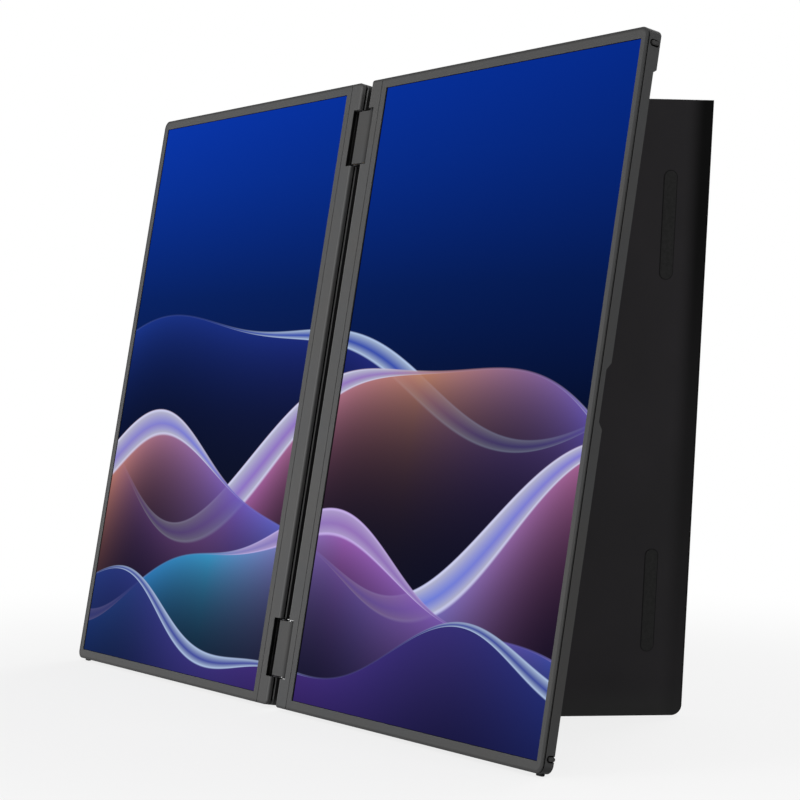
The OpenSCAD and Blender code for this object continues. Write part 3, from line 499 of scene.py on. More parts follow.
# %% Dark places of bezels and strips
LIP, RIM, GROOVE, NOTCH = 0.6, 0.95, 2.1, 8.9  # mm: depths of the seams, side of the notch
LINE, LIP_SPILL, GROOVE_FADE = 0.02, 0.1, 0.1  # mm
NOTCH_WALL, NOTCH_DEPTH = 0.3, (0.15, 0.5)  # mm


def lip_shade(finish):
    """The shadow line under a bezel's lip."""
    return between(finish.along(BACK), LIP + LINE, RIM + LIP_SPILL, LINE)


def notch_wall(finish):
    """The wall of a hinge notch that runs beside the block."""
    return between(off_middle(finish), NOTCH - NOTCH_WALL, NOTCH + LINE, LINE)


def strip_shade(finish):
    """Painted shade on a trim strip's back edge and notches."""
    depth = finish.along(BACK)
    notch = notch_wall(finish) * depth.step(*NOTCH_DEPTH)
    return depth.step(GROOVE - GROOVE_FADE, GROOVE).either(notch)


print("seams at", LIP, "to", GROOVE, "mm behind the front")

# %% Painted shade and painted highlights of the back covers
FACING = (5.2, 6.0)  # mm from the middle, the walls that face across the hinge
FACING_DEPTH, FACING_HEIGHT = (3.8, 6.6, 0.1), (4.0, 309.0, 3.0)  # mm: from, to, softness
FACING_SHARE = 0.9
PAD_FLOOR, PAD_FROM_MIDDLE = 211.55, 149.95  # mm
MOAT, MOAT_FLOOR = 1.6, (-0.6, 0.2)  # mm around a pad's middle and its floor
RIM_FADE = (0.01, 0.04)  # mm
# the next values place a painted highlight, a thin light line on the covers' rim beside the hinge
HIGHLIGHT_RIM, HIGHLIGHT_REACH, HIGHLIGHT_DEPTH = (0.5, 1.0), (6.0, 16.0), (3.3, 3.6, 0.1)  # mm


def cover_shade(finish):
    """Painted shade on a back cover: the walls across the hinge, the notch walls, the pad hollows
    and the front of the rim.
    """
    depth, x, height = finish.along(BACK), off_middle(finish), finish.along(UP)
    facing = (1.0 - x.step(*FACING)) * between(depth, *FACING_DEPTH)
    facing = facing * between(height, *FACING_HEIGHT)
    moat = between(x, PAD_FLOOR + MOAT_FLOOR[0], PAD_FLOOR + MOAT_FLOOR[1])
    moat = moat * between(from_middle(finish), PAD_FROM_MIDDLE - MOAT, PAD_FROM_MIDDLE + MOAT)
    rim = 1.0 - depth.step(RIM + RIM_FADE[0], RIM + RIM_FADE[1])
    return (facing.either(notch_wall(finish)) * FACING_SHARE).either(moat).either(rim)


def cover_highlight(finish):
    """A painted highlight: a thin light line on the rim beside the hinge."""
    rim = 1.0 - inside_hinge(finish).step(*HIGHLIGHT_RIM)
    rim = rim * (1.0 - off_middle(finish).step(*HIGHLIGHT_REACH))
    return rim * between(finish.along(BACK), *HIGHLIGHT_DEPTH)


print("pads", PAD_FROM_MIDDLE, "mm above and below the middle")

# %% [markdown]
# ## The grey family
#
# All of the housing's plastics come from the same mould shop, so their greys lie close together.
# One material could serve them all, but each piece has grooves and edges of its own, and the
# greys differ a little from piece to piece, so each has its own.

# %% Grey finishes
bezel_grey = eroded_plastic(
    "bezel_grey", shade=0.064, spread=0.12, roughness=0.62,
    grooves=lip_shade, outline=bezel_outline)
strip_grey = eroded_plastic(
    "strip_grey", shade=0.065, spread=0.12, roughness=0.60,
    grooves=strip_shade, wear_and_highlight=strip_highlight, outline=strip_outline)
cover_grey = eroded_plastic(
    "cover_grey", shade=0.057, spread=0.14, roughness=0.66,
    grooves=cover_shade, wear_and_highlight=cover_highlight, outline=cover_ends)
block_grey = eroded_plastic("hinge_block_grey", shade=0.049, spread=0.10, roughness=0.55)
edge_grey = worn_edge(
    "edge_grey", shade=0.060, wear_and_highlight=0.095, roughness=0.58, outline=bezel_outline)
print("grey finishes:", bezel_grey.name, strip_grey.name, block_grey.name, cover_grey.name)

# %% [markdown]
# ## Directions on the kickstand
#
# The kickstand is a flat sheet on a slanted hinge. Its marks are measured while it is
# shut and flat on the panels, because that is how it is made, so the three directions
# of the panels are turned with it to where it stands open.

# %% Directions on the open kickstand
STAND_HINGE = JOINTS["kickstand_hinge"]
OPEN_ANGLE = 65.0  # degrees
HINGE_POINT = Vector(STAND_HINGE["pos_m"])
opened = Matrix.Rotation(math.radians(OPEN_ANGLE), 3, Vector(STAND_HINGE["axis"]))
PLATE_ACROSS, PLATE_UP, PLATE_OUT = opened @ ACROSS, opened @ UP, opened @ BACK
SHUT = HINGE_POINT - ORIGIN
PLATE_ORIGIN = HINGE_POINT - PLATE_ACROSS * SHUT.dot(ACROSS) - PLATE_UP * SHUT.dot(UP)
INNER_FACE = (1.1, 1.3)  # mm behind the hinge


def inner_side(finish):
    """1 on the plate's inner face and bevel, 0 on its outer face."""
    return 1.0 - finish.along(PLATE_OUT, HINGE_POINT).step(*INNER_FACE)


def up_plate(finish):
    """Millimetres up the plate from its foot."""
    return finish.along(PLATE_UP, PLATE_ORIGIN)


def across_plate(finish):
    """Millimetres across the plate, as on the panels when it is shut."""
    return finish.along(PLATE_ACROSS, PLATE_ORIGIN)


print("the plate points out along", [round(v, 3) for v in PLATE_OUT])

# %% [markdown]
# ## The shadow line round the grip strips
#
# Two rubber strips sit on the plate's inner face, and a line of shade runs round each
# where rubber and metal don't quite meet. A gap that thin would come and go in a
# render, so the finish draws it. The distance to a bar with round ends gives it: past
# the straight part, it is the distance to the end's centre.

# %% Grip strips
FREE_EDGE, STRIP_INSET = 212.05, 18.7  # mm: the plate's free edge, and a strip's way from it
GRIP_MIDDLE, GRIP_OFFSET = 146.63, 89.7  # mm up the plate, and each strip's way from there
GRIP_HALF, GRIP_STRAIGHT = 2.9, 22.1  # mm: half the width, half the straight part
GRIP_LINE, GRIP_SOFT = (0.05, 0.4), 0.1  # mm outside the strip


def grip_line(finish):
    """1 on the shadow line round each grip strip."""
    across = across_plate(finish) - (FREE_EDGE - STRIP_INSET)
    off = ((up_plate(finish) - GRIP_MIDDLE).math("ABSOLUTE") - GRIP_OFFSET).math("ABSOLUTE")
    beyond = (off - GRIP_STRAIGHT).math("MAXIMUM", 0.0)
    distance = (across * across + beyond * beyond).math("SQRT")
    return between(distance, GRIP_HALF + GRIP_LINE[0], GRIP_HALF + GRIP_LINE[1], GRIP_SOFT)


print("grip strips", 2 * (GRIP_HALF + GRIP_STRAIGHT), "mm long")

# %% [markdown]
# ## Black anodised sheet
#
# The kickstand is a pressed aluminium sheet, blasted and anodised black, so it keeps a metal's
# soft sheen under the dye. A wide, shallow bevel thins its free edge and is a little smoother
# than the blasted face; the shade on that bevel, darkest towards the top, is painted into its
# colour, and so is a dark line along the free edge. A band at the foot is painted a little
# lighter. Each mark could be a material of its own, but they fade into one another, so one finish
# mixes them by masks.

# %% Marks on the kickstand's inner face
# the bevel's shade and the dark line at the free edge are painted shade, and the foot band is
# painted lighter
CUT, CUT_RIM, FOOT_BAND = (3.6, 13.0), (0.4, 1.2), 17.0  # mm in from the free edge and up
CUT_AT_FOOT, CUT_PER_MM = 0.33, 0.0028
BEVEL_SHADE_TONE, EDGE_SHADE_TONE, FOOT_TONE, LINE_TONE = 0.2, 0.1, 1.25, 0.001
CUT_RIM_SHARE, LINE_SHARE = 0.55, 0.6
CUT_POLISH, CUT_DULL, LINE_DULL = 0.1, 0.66, 0.55
DYED_METAL = 0.2


def plate_marks(finish, shade, colour, gloss):
    """Painted shade on the bevel and along the free edge, a lighter band at the foot, and the
    strips' shadow lines, over the dyed sheet.
    """
    height, inner = up_plate(finish), inner_side(finish)
    edge = FREE_EDGE - across_plate(finish)
    rise = (height * CUT_PER_MM + CUT_AT_FOOT).math("MINIMUM", 1.0)
    cut = (1.0 - edge.step(*CUT)) * rise * inner
    foot = (1.0 - height.step(0.0, FOOT_BAND)) * inner
    rim = (1.0 - edge.step(*CUT_RIM)) * inner * CUT_RIM_SHARE
    line = grip_line(finish) * inner
    colour = finish.mix(foot, colour, tinted(shade * FOOT_TONE))
    # painted shade on the bevel, growing towards the top, and a painted dark line along the free
    # edge
    colour = finish.mix(cut, colour, tinted(shade * BEVEL_SHADE_TONE))
    colour = finish.mix(rim, colour, tinted(shade * EDGE_SHADE_TONE))
    colour = finish.mix(line * LINE_SHARE, colour, tinted(LINE_TONE))
    # more Metallic over the painted shade and shadow lines takes away their gloss, so they stay
    # dark
    finish.drive(Metallic=(cut * CUT_DULL + DYED_METAL).either(line * LINE_DULL))
    return colour, gloss - cut * CUT_POLISH


print("cut", CUT[1], "mm wide")

# %% Anodised sheet
BLAST, BLAST_DEPTH, DYE = 0.22, 0.012, 60.0  # mm
BLAST_STRENGTH, BLAST_GLOSS, DYE_GLOSS, SHEEN = 0.6, 0.14, 0.08, 0.08
PALE_DYE, DEEP_DYE = (1.12, 1.04, 1.14), (0.93, 0.88, 0.95)
DYE_EDGE = (0.3, 0.7)


def anodised(name, shade, roughness, marks=None):
    """Blasted sheet under a black dye: fine sparkle in the roughness and the normal."""
    finish = Finish(name, Metallic=DYED_METAL, Specular_IOR_Level=SHEEN)
    blast, dye = finish.noise(BLAST), finish.noise(DYE, detail=3.0)
    colour = finish.mix(dye.step(*DYE_EDGE), tinted(shade, DEEP_DYE), tinted(shade, PALE_DYE))
    gloss = roughness + blast.swing(BLAST_GLOSS) + dye.swing(DYE_GLOSS)
    if marks:
        colour, gloss = marks(finish, shade, colour, gloss)
    normal = finish.bump(blast, BLAST_DEPTH, BLAST_STRENGTH)
    return finish.drive(Base_Color=colour, Roughness=gloss, Normal=normal)


stand_black = anodised("stand_black", shade=0.0215, roughness=0.42, marks=plate_marks)
stand_edge = anodised("stand_edge", shade=0.02, roughness=0.34)
print("anodised finishes:", stand_black.name, stand_edge.name)

# %% [markdown]
# ## Rubber and buttons
#
# Feet, pads and grip strips are moulded rubber, which is duller than plastic and has a
# slightly uneven skin, and a nylon disc looks much the same. The buttons are the
# housing's plastic with a satin finish, so they come from the same functions as the
# housing, and not from a material that has to be kept in step with it.

# %% Rubber and satin plastic
SKIN, SKIN_DEPTH = 1.6, 0.05  # mm
SKIN_DETAIL, SKIN_ROUGH, SKIN_EDGE, SKIN_STRENGTH = 4.0, 0.6, (0.3, 0.7), 0.5
SKIN_DARK, SKIN_PALE, SKIN_SWING, RUBBER_GLOSS = 0.8, 1.2, 0.2, 0.1


def rubber(name, shade, roughness):
    """Moulded rubber or nylon with a faintly mottled skin."""
    finish = Finish(name, Specular_IOR_Level=RUBBER_GLOSS)
    skin = finish.noise(SKIN, SKIN_DETAIL, SKIN_ROUGH)
    tones = (tinted(shade * SKIN_DARK), tinted(shade * SKIN_PALE))
    colour = finish.mix(skin.step(*SKIN_EDGE), *tones)
    normal = finish.bump(skin, SKIN_DEPTH, SKIN_STRENGTH)
    gloss = roughness + skin.swing(SKIN_SWING)
    return finish.drive(Base_Color=colour, Roughness=gloss, Normal=normal)


foot_rubber = rubber("foot_rubber", shade=0.022, roughness=0.8)
pad_rubber = rubber("pad_rubber", shade=0.042, roughness=0.6)
grip_rubber = rubber("grip_rubber", shade=0.016, roughness=0.45)
# the slip discs are near-black: painted shade for the inside of the hinge notch
disc_shade_black = rubber("disc_shade_black", shade=0.012, roughness=0.5)
button_satin = eroded_plastic("button_satin", shade=0.04, spread=0.1, roughness=0.42)
button_edge = worn_edge("button_edge", shade=0.045, wear_and_highlight=0.07, roughness=0.4)
print("soft and satin finishes:", foot_rubber.name, grip_rubber.name, button_satin.name)

# %% [markdown]
# ## Metals inside
#
# Through the hinge notches and the sockets a little steel, bronze and brass shows.
# Turned and ground metal has fine lines round or along it. A picture of such lines
# would be plainer to make, but noise that is squeezed in one direction gives them at
# any size, and each metal only needs its own colour and direction.

# %% Bare metals
TOOL_LINE, TOOL_DEPTH, FILM = 0.5, 0.01, 9.0  # mm
LINE_DETAIL, LINE_ROUGH, LINE_SWING, LINE_STRENGTH = 3.0, 0.6, 0.25, 0.4
FILM_DARK, FILM_PALE, FILM_EDGE = 0.85, 1.1, (0.3, 0.7)
LEVEL, UPRIGHT, ROUND_THREAD = (1, 1, 6), (6, 1, 1), (1, 6, 1)  # which way the lines run
ALONG_FOIL, ALONG_SHAFT = (4, 1, 1), (1, 1, 0.2)
METALS = {  # colour, roughness and lines
    "bracket_steel": ((0.16, 0.16, 0.17), 0.45, LEVEL),
    # painted shade: the hinge brackets and shafts are near-black, standing for the shade inside
    # the hinge notches
    "shade_dark_steel": ((0.022, 0.022, 0.024), 0.5, ALONG_SHAFT),
    "screw_steel": ((0.13, 0.13, 0.14), 0.4, LEVEL),
    "bush_bronze": ((0.42, 0.29, 0.15), 0.45, LEVEL),
    "insert_brass": ((0.58, 0.43, 0.18), 0.3, ROUND_THREAD),
    "socket_steel": ((0.5, 0.5, 0.52), 0.3, UPRIGHT),
    "chassis_metal": ((0.36, 0.36, 0.38), 0.42, LEVEL),
    "spreader_foil": ((0.50, 0.36, 0.27), 0.36, ALONG_FOIL),
}


def metal(name, colour, roughness, stretch):
    """Bare metal with fine tool lines under a thin film of oil."""
    finish = Finish(name, Metallic=1.0)
    lines = finish.noise(TOOL_LINE, LINE_DETAIL, LINE_ROUGH, stretch)
    film = finish.noise(FILM)
    dark, pale = tinted(FILM_DARK, colour), tinted(FILM_PALE, colour)
    shade = finish.mix(film.step(*FILM_EDGE), dark, pale)
    normal = finish.bump(lines, TOOL_DEPTH, LINE_STRENGTH)
    gloss = roughness + lines.swing(LINE_SWING)
    return finish.drive(Base_Color=shade, Roughness=gloss, Normal=normal)


metals = {name: metal(name, *look) for name, look in METALS.items()}
print("metals:", ", ".join(metals))

# %% [markdown]
# ## Boards and flexes
#
# A circuit board is green because of its solder mask, and paler where copper runs
# under it. A Voronoi pattern with straight distances breaks into blocky cells, like
# tracks and pads seen from afar. A flex is a clear film with lines of copper along it,
# which a sine wave gives.

# %% Boards and flexes
CELLS_PER_M, COPPER_EDGE = 420.0, (0.42, 0.46)
COPPER_DEPTH, COPPER_STRENGTH = 0.02, 0.5  # the depth in mm
MASK_GREEN, COPPER_GREEN = (0.008, 0.055, 0.028), (0.02, 0.13, 0.06)
BOARD_CLOUD, FLEX_CLOUD = 3.0, 4.0  # mm
BOARD_ROUGH, BOARD_SWING, FLEX_ROUGH, FLEX_SWING, FILM_GLOSS = 0.32, 0.1, 0.3, 0.15, 0.5
TRACK_PACE, TRACK_EDGE = 9.0, (-0.2, 0.2)  # radians per mm, and the sines that bound a track


def board_mask(name):
    """Green solder mask, lighter where copper runs under it."""
    finish = Finish(name, Specular_IOR_Level=FILM_GLOSS)
    inputs = {"Vector": finish.place(), "Scale": CELLS_PER_M}
    cells = finish.node("ShaderNodeTexVoronoi", inputs, distance="MANHATTAN")
    copper = cells.step(*COPPER_EDGE)
    normal = finish.bump(copper, COPPER_DEPTH, COPPER_STRENGTH)
    gloss = BOARD_ROUGH + finish.noise(BOARD_CLOUD) * BOARD_SWING
    colour = finish.mix(copper, MASK_GREEN, COPPER_GREEN)
    return finish.drive(Base_Color=colour, Roughness=gloss, Normal=normal)


def flex(name, dark, bright):
    """Film with conductors along it that show through as bright lines."""
    finish = Finish(name, Specular_IOR_Level=FILM_GLOSS)
    tracks = (finish.along(UP) * TRACK_PACE).math("SINE").step(*TRACK_EDGE)
    gloss = FLEX_ROUGH + finish.noise(FLEX_CLOUD) * FLEX_SWING
    return finish.drive(Base_Color=finish.mix(tracks, dark, bright), Roughness=gloss)


board_green = board_mask("board_green")
flex_amber = flex("flex_amber", dark=(0.16, 0.055, 0.012), bright=(0.34, 0.14, 0.03))
flex_black = flex("flex_black", dark=(0.006, 0.005, 0.004), bright=(0.016, 0.013, 0.010))
print("boards and flexes:", board_green.name, flex_amber.name, flex_black.name)

# %% [markdown]
# ## Ribbons of light
#
# The screens show a generic picture: a night-blue sky with silk ribbons of light. A
# ribbon is a band under the crest of two added sine waves. Its slope is known exactly,
# so dividing by it keeps the band's width even, and the width itself swells and thins
# along the way, as a brush stroke does. Below the band the ribbon's colour falls away
# into the night. Silk is brightest at its two rims and darkest in the fold.

# %% One ribbon of light
NIGHT = (0.0007, 0.0020, 0.011)
CREST_EDGE, BAND_END, HUE_PACE, HUE_MIDDLE = (-0.004, 0.006), (0.9, 1.06), 0.24, 0.5
BODY_SHARE, VEILED, SOLID = 0.72, 0.78, 0.17
NEAR_AT, FOLD_AT, FAR_AT, END_AT = 0.12, 0.55, 0.88, 0.97  # across a band of silk
NEAR_TONE, FAR_TONE = 0.62, 0.6
VEIL = ((0.0, 1.0), (0.3, 0.8), (0.6, 0.66), (END_AT, 1.0))
SWELL_EDGE, SWELL_SHINE, LEAST_SHINE = (0.0, 0.5), 0.9, 0.1


def crest_line(u, level, swells):
    """Height and slope of two added waves, each with its size, pace and phase."""
    height, slope = level, 0.0
    for size, pace, phase in swells:
        angle = u * pace + phase
        height = angle.math("SINE") * size + height
        slope = angle.math("COSINE") * (size * pace) + slope
    return height, slope


def silk_stops(rim, fold):
    """Colours across a band of silk, from its crest down."""
    near, far = tinted(NEAR_TONE, rim), tinted(FAR_TONE, rim)
    return [(0.0, rim), (NEAR_AT, near), (FOLD_AT, fold), (FAR_AT, far), (END_AT, rim)]


def ribbon(finish, sky, u, v, level, swells, width, rim, fold, glow, fall):
    """Lays one ribbon and the glow below it over the sky; u, v and sizes in decimetres."""
    height, slope = crest_line(u, level, swells)
    below = (height - v) / (slope * slope + 1.0).math("SQRT")
    thin, thick, pace, phase = width
    swell = (u * pace + phase).wave()
    broad = swell * swell * (thick - thin) + thin
    across = (below / broad).math("MAXIMUM", 0.0)
    crest = below.step(*CREST_EDGE)
    hues = finish.ramp(u * HUE_PACE + HUE_MIDDLE, glow)
    faded = ((below - broad).math("MAXIMUM", 0.0) / (-fall)).math("EXPONENT")
    body = finish.mix(faded * BODY_SHARE, NIGHT, hues)
    sky = finish.mix(crest * (faded * SOLID + VEILED), sky, body)
    band = crest * (1.0 - across.step(*BAND_END))
    veil = finish.ramp(across, [(stop, tinted(tone)) for stop, tone in VEIL])
    shine = swell.step(*SWELL_EDGE) * SWELL_SHINE + LEAST_SHINE
    return finish.mix(band * veil * shine, sky, finish.ramp(across, silk_stops(rim, fold)))


print("ribbon tool ready")

# %% The ribbons
PALE, ICE, LILAC = (0.72, 0.74, 1.0), (0.55, 0.70, 1.0), (0.66, 0.52, 0.95)
RIBBONS = [
    {"level": 1.72, "swells": ((0.26, 1.15, 2.7), (0.10, 2.6, 0.4)),
     "width": (0.006, 0.11, 1.3, 0.6), "rim": ICE, "fold": (0.05, 0.10, 0.52), "fall": 0.24,
     "glow": [(0.0, (0.012, 0.045, 0.33)), (0.5, (0.012, 0.026, 0.24)),
              (1.0, (0.05, 0.03, 0.26))]},
    {"level": 1.36, "swells": ((0.42, 1.35, 0.3), (0.12, 2.9, 2.0)),
     "width": (0.008, 0.19, 1.6, 2.4), "rim": PALE, "fold": (0.24, 0.20, 0.66), "fall": 0.19,
     "glow": [(0.0, (0.10, 0.07, 0.50)), (0.4, (0.50, 0.16, 0.44)),
              (0.7, (0.66, 0.29, 0.17)), (1.0, (0.16, 0.11, 0.5))]},
    {"level": 1.00, "swells": ((0.36, 1.55, 3.9), (0.09, 3.4, 1.1)),
     "width": (0.008, 0.17, 1.9, 5.2), "rim": PALE, "fold": (0.16, 0.24, 0.80), "fall": 0.22,
     "glow": [(0.0, (0.66, 0.26, 0.20)), (0.35, (0.20, 0.13, 0.62)),
              (0.65, (0.03, 0.20, 0.78)), (1.0, (0.52, 0.17, 0.38))]},
    {"level": 0.64, "swells": ((0.28, 1.4, 1.4), (0.08, 3.8, 0.2)),
     "width": (0.006, 0.13, 2.2, 1.0), "rim": LILAC, "fold": (0.30, 0.20, 0.52), "fall": 0.2,
     "glow": [(0.0, (0.02, 0.12, 0.5)), (0.3, (0.05, 0.40, 0.74)),
              (0.6, (0.42, 0.15, 0.58)), (1.0, (0.06, 0.09, 0.45))]},
    {"level": 0.32, "swells": ((0.18, 1.8, 5.0), (0.06, 4.1, 2.2)),
     "width": (0.005, 0.08, 2.0, 3.4), "rim": ICE, "fold": (0.06, 0.09, 0.40), "fall": 0.4,
     "glow": [(0.0, (0.02, 0.05, 0.26)), (0.5, (0.07, 0.03, 0.24)),
              (1.0, (0.02, 0.03, 0.20))]},
]
print("ribbons at", [one["level"] for one in RIBBONS], "decimetres up the panels")

# %% [markdown]
# ## The lit screens
#
# A screen is a sheet of glass over a panel that makes its own light, so its picture goes
# to Emission Color, over black with hardly any gloss. A picture file would be the plain
# way, but here the sky is one ramp up the panel and the ribbons are laid over it one by
# one, so the picture stays sharp in any render. Outside the lit area the glass is black.

# %% Glass over a lit picture
INNER, OUTER, LOW, HIGH = 18.4, 207.6, 5.1, 307.8  # mm: edges of the lit area
LIT_SOFT, GLASS_FRONT = 0.1, (0.65, 0.75)  # mm
DECIMETRE = 100.0  # mm
SKY = [(0.0, (0.010, 0.014, 0.075)), (0.28, (0.0010, 0.0028, 0.012)),
       (0.46, (0.0008, 0.0045, 0.026)), (0.66, (0.0008, 0.0135, 0.115)),
       (0.86, (0.0009, 0.026, 0.275)), (1.0, (0.0009, 0.032, 0.37))]
SKY_TONE, SKY_FALLS = 0.88, 0.09  # brightness at the hinge, and its fall per decimetre
GLASS_BLACK, GLASS_GLOSS, GLASS_ROUGH = (0.001, 0.001, 0.0015, 1), 0.0006, 0.2


def lit_glass(name, left, right):
    """Glass over a lit picture between these sides, black around it."""
    finish = Finish(name, Base_Color=GLASS_BLACK, Specular_IOR_Level=GLASS_GLOSS,
                    Roughness=GLASS_ROUGH, Emission_Strength=1.0)
    x, z = finish.along(ACROSS), finish.along(UP)
    u, v = x / DECIMETRE, z / DECIMETRE
    sky = finish.ramp(v / (PANEL_HEIGHT / DECIMETRE), SKY)
    sky = finish.mix(1.0, sky, finish.grey(SKY_TONE - u * SKY_FALLS), "MULTIPLY")
    for one in RIBBONS:
        sky = ribbon(finish, sky, u, v, **one)
    lit = between(x, left, right, LIT_SOFT) * between(z, LOW, HIGH, LIT_SOFT)
    lit = lit * (1.0 - finish.along(BACK).step(*GLASS_FRONT))
    return finish.drive(Emission_Color=finish.mix(lit, tinted(0.0), sky))


left_glass = lit_glass("left_screen", left=-OUTER, right=-INNER)
right_glass = lit_glass("right_screen", left=INNER, right=OUTER)
print("lit area:", round(OUTER - INNER, 1), "x", round(HIGH - LOW, 1), "mm")

# %% [markdown]
# ## Rounding what a hand would feel
#
# No moulded or pressed edge is perfectly sharp, and the thin light along a rounded
# edge is what makes a part look real. Each outer piece is therefore made again from its
# solid: its flat faces are merged, and a Bevel modifier rounds the edges by a tenth or
# two of a millimetre. The bevel is baked into the mesh, so that the normals can be
# weighted by the size of each face afterwards, which keeps the large faces flat. The
# solid itself isn't touched; the new piece stands for it.

# %% A piece with rounded edges
SAME_POINT = 2e-6  # m
FLAT, CREASE, SHARP = (math.radians(angle) for angle in (0.6, 32, 40))
BIG_FACES_WIN = 100  # the Weighted Normal modifier's weight


def rounded(piece, edge, steps, edge_finish):
    """Bakes a bevel of this many millimetres into a piece's mesh."""
    bevel = piece.modifiers.new("rounding", "BEVEL")
    bevel.width = edge * MM
    bevel.segments = steps
    bevel.limit_method = "ANGLE"
    bevel.angle_limit = CREASE
    if edge_finish:
        piece.data.materials.append(edge_finish)
        bevel.material = 1
    baked = piece.evaluated_get(bpy.context.evaluated_depsgraph_get())
    piece.data = bpy.data.meshes.new_from_object(baked)
    piece.modifiers.clear()


def evened(piece):
    """Weights the normals by face size, and keeps true corners sharp."""
    piece.data.set_sharp_from_angle(angle=SHARP)
    even = piece.modifiers.new("even_normals", "WEIGHTED_NORMAL")
    even.keep_sharp = True
    even.weight = BIG_FACES_WIN


def dressed(node, finish, edge, edge_finish=None, steps=2):
    """A copy of a solid with rounded edges, on the same body, in place of the solid."""
    solid = frame["nodes"][node]
    shape = bmesh.new()
    shape.from_mesh(solid.data)
    bmesh.ops.remove_doubles(shape, verts=shape.verts, dist=SAME_POINT)
    bmesh.ops.dissolve_limit(shape, angle_limit=FLAT, verts=shape.verts, edges=shape.edges)
    for face in shape.faces:
        face.smooth = True
    piece = put(f"{node}_dressed", mesh_from(shape, f"{node}_shape", finish))
    rounded(piece, edge, steps, edge_finish)
    evened(piece)
    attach(piece, solid["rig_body"])
    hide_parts(node)


print("rounding tools ready")

# %% [markdown]
# ## The housing pieces
#
# Trim is moulded crisply, back covers a little softer, hinge blocks softer still, because fingers
# find them when the device folds, and a rubber foot is quite round. The edges take the worn
# finish, as those are the places that hands touch, and that finish also paints shade along the
# modules' outlines.

# %% Housing, hinge blocks and feet
TRIM_EDGE, COVER_EDGE, BLOCK_EDGE, FOOT_EDGE = 0.12, 0.15, 0.2, 0.45  # mm
for side in ("left", "right"):
    dressed(f"{side}_bezel", bezel_grey, TRIM_EDGE, edge_grey)
    dressed(f"{side}_hinge_strip", strip_grey, TRIM_EDGE, edge_grey)
    dressed(f"{side}_back_cover", cover_grey, COVER_EDGE, edge_grey)
    dressed(f"{side}_foot", foot_rubber, FOOT_EDGE, steps=4)
for block in ("upper_hinge_block", "lower_hinge_block"):
    dressed(block, block_grey, BLOCK_EDGE, edge_grey, steps=3)
print("edges rounded by", TRIM_EDGE, "to", FOOT_EDGE, "mm")

# %% [markdown]
# ## Stand, pads, buttons and the tripod thread
#
# The same function serves the small pieces. The stand's edge is polished by the press,
# and each button keeps its own body, so that it can be pushed.

# %% Stand and small pieces
STAND_EDGE, GRIP_EDGE, PAD_EDGE, BUTTON_EDGE, INSERT_EDGE = 0.2, 0.08, 0.35, 0.2, 0.15  # mm
dressed("kickstand_plate", stand_black, STAND_EDGE, stand_edge, steps=3)
dressed("kickstand_grip_strips", grip_rubber, GRIP_EDGE)
dressed("right_side_pads", pad_rubber, PAD_EDGE, steps=4)
for button in ("power_button", "up_button", "down_button"):
    dressed(button, button_satin, BUTTON_EDGE, button_edge, steps=3)
dressed("tripod_insert", metals["insert_brass"], INSERT_EDGE)

# %% [markdown]
# ## Slip discs
#
# The upper hinge carries the twist of the panels, so a thin nylon disc fills the play between
# each bracket's ear and the end of its notch; it closes the gap there, and its near-black colour
# is painted shade that stands for the shade inside the notch. Such a disc is punched from sheet.
# It could be a cylinder, but its rim is rounded by the punch, so its profile is drawn from the
# axis to the rim and turned about the hinge axis.

# %% Discs at the upper hinge
BLOCK_MIDDLE, DISC_RADIUS, DISC_RIM = 284.7, 2.0, 0.05  # mm
DISC_FROM, DISC_TO = 14.17, 14.38  # mm from the middle of the block
DISC_STEPS, DISC_JOIN = 36, 1e-6  # steps round the axis, and metres between equal points


def disc_profile():
    """Radius and rise of half a disc's section, from the axis round the rim and back."""
    half, flat = (DISC_TO - DISC_FROM) / 2, DISC_RADIUS - DISC_RIM
    lower = [(0, -half), (flat, -half), (DISC_RADIUS, DISC_RIM - half)]
    return lower + [(radius, -rise) for radius, rise in reversed(lower)]


def slip_disc(name, body, x, height):
    """A thin round disc on a hinge axis."""
    shape = bmesh.new()
    places = [on_panel(x + radius, AXIS_DEPTH, height + rise) for radius, rise in disc_profile()]
    points = [shape.verts.new(place) for place in places]
    rims = [shape.edges.new(pair) for pair in zip(points, points[1:])]
    bmesh.ops.spin(shape, geom=points + rims, cent=on_panel(x, AXIS_DEPTH, height), axis=UP,
                   angle=math.tau, steps=DISC_STEPS, use_merge=True)
    bmesh.ops.remove_doubles(shape, verts=shape.verts, dist=DISC_JOIN)
    bmesh.ops.recalc_face_normals(shape, faces=shape.faces)
    disc = put(name, mesh_from(shape, name, disc_shade_black))
    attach(disc, body)


disc_offset = (DISC_FROM + DISC_TO) / 2
for side, body, x in (("right", "right_module", AXIS_X), ("left", "left_module", -AXIS_X)):
    slip_disc(f"{side}_upper_disc", body, x, BLOCK_MIDDLE + disc_offset)
    slip_disc(f"{side}_lower_disc", body, x, BLOCK_MIDDLE - disc_offset)
print("slip discs:", 2 * DISC_RADIUS, "mm wide,", round(DISC_TO - DISC_FROM, 2), "mm thick")

# %% [markdown]
# ## Finishes for the solids that stay
#
# The other solids have the right shape already: screens, brackets, shafts, boards.
# Making them again would add nothing, so a table pairs each with its material.

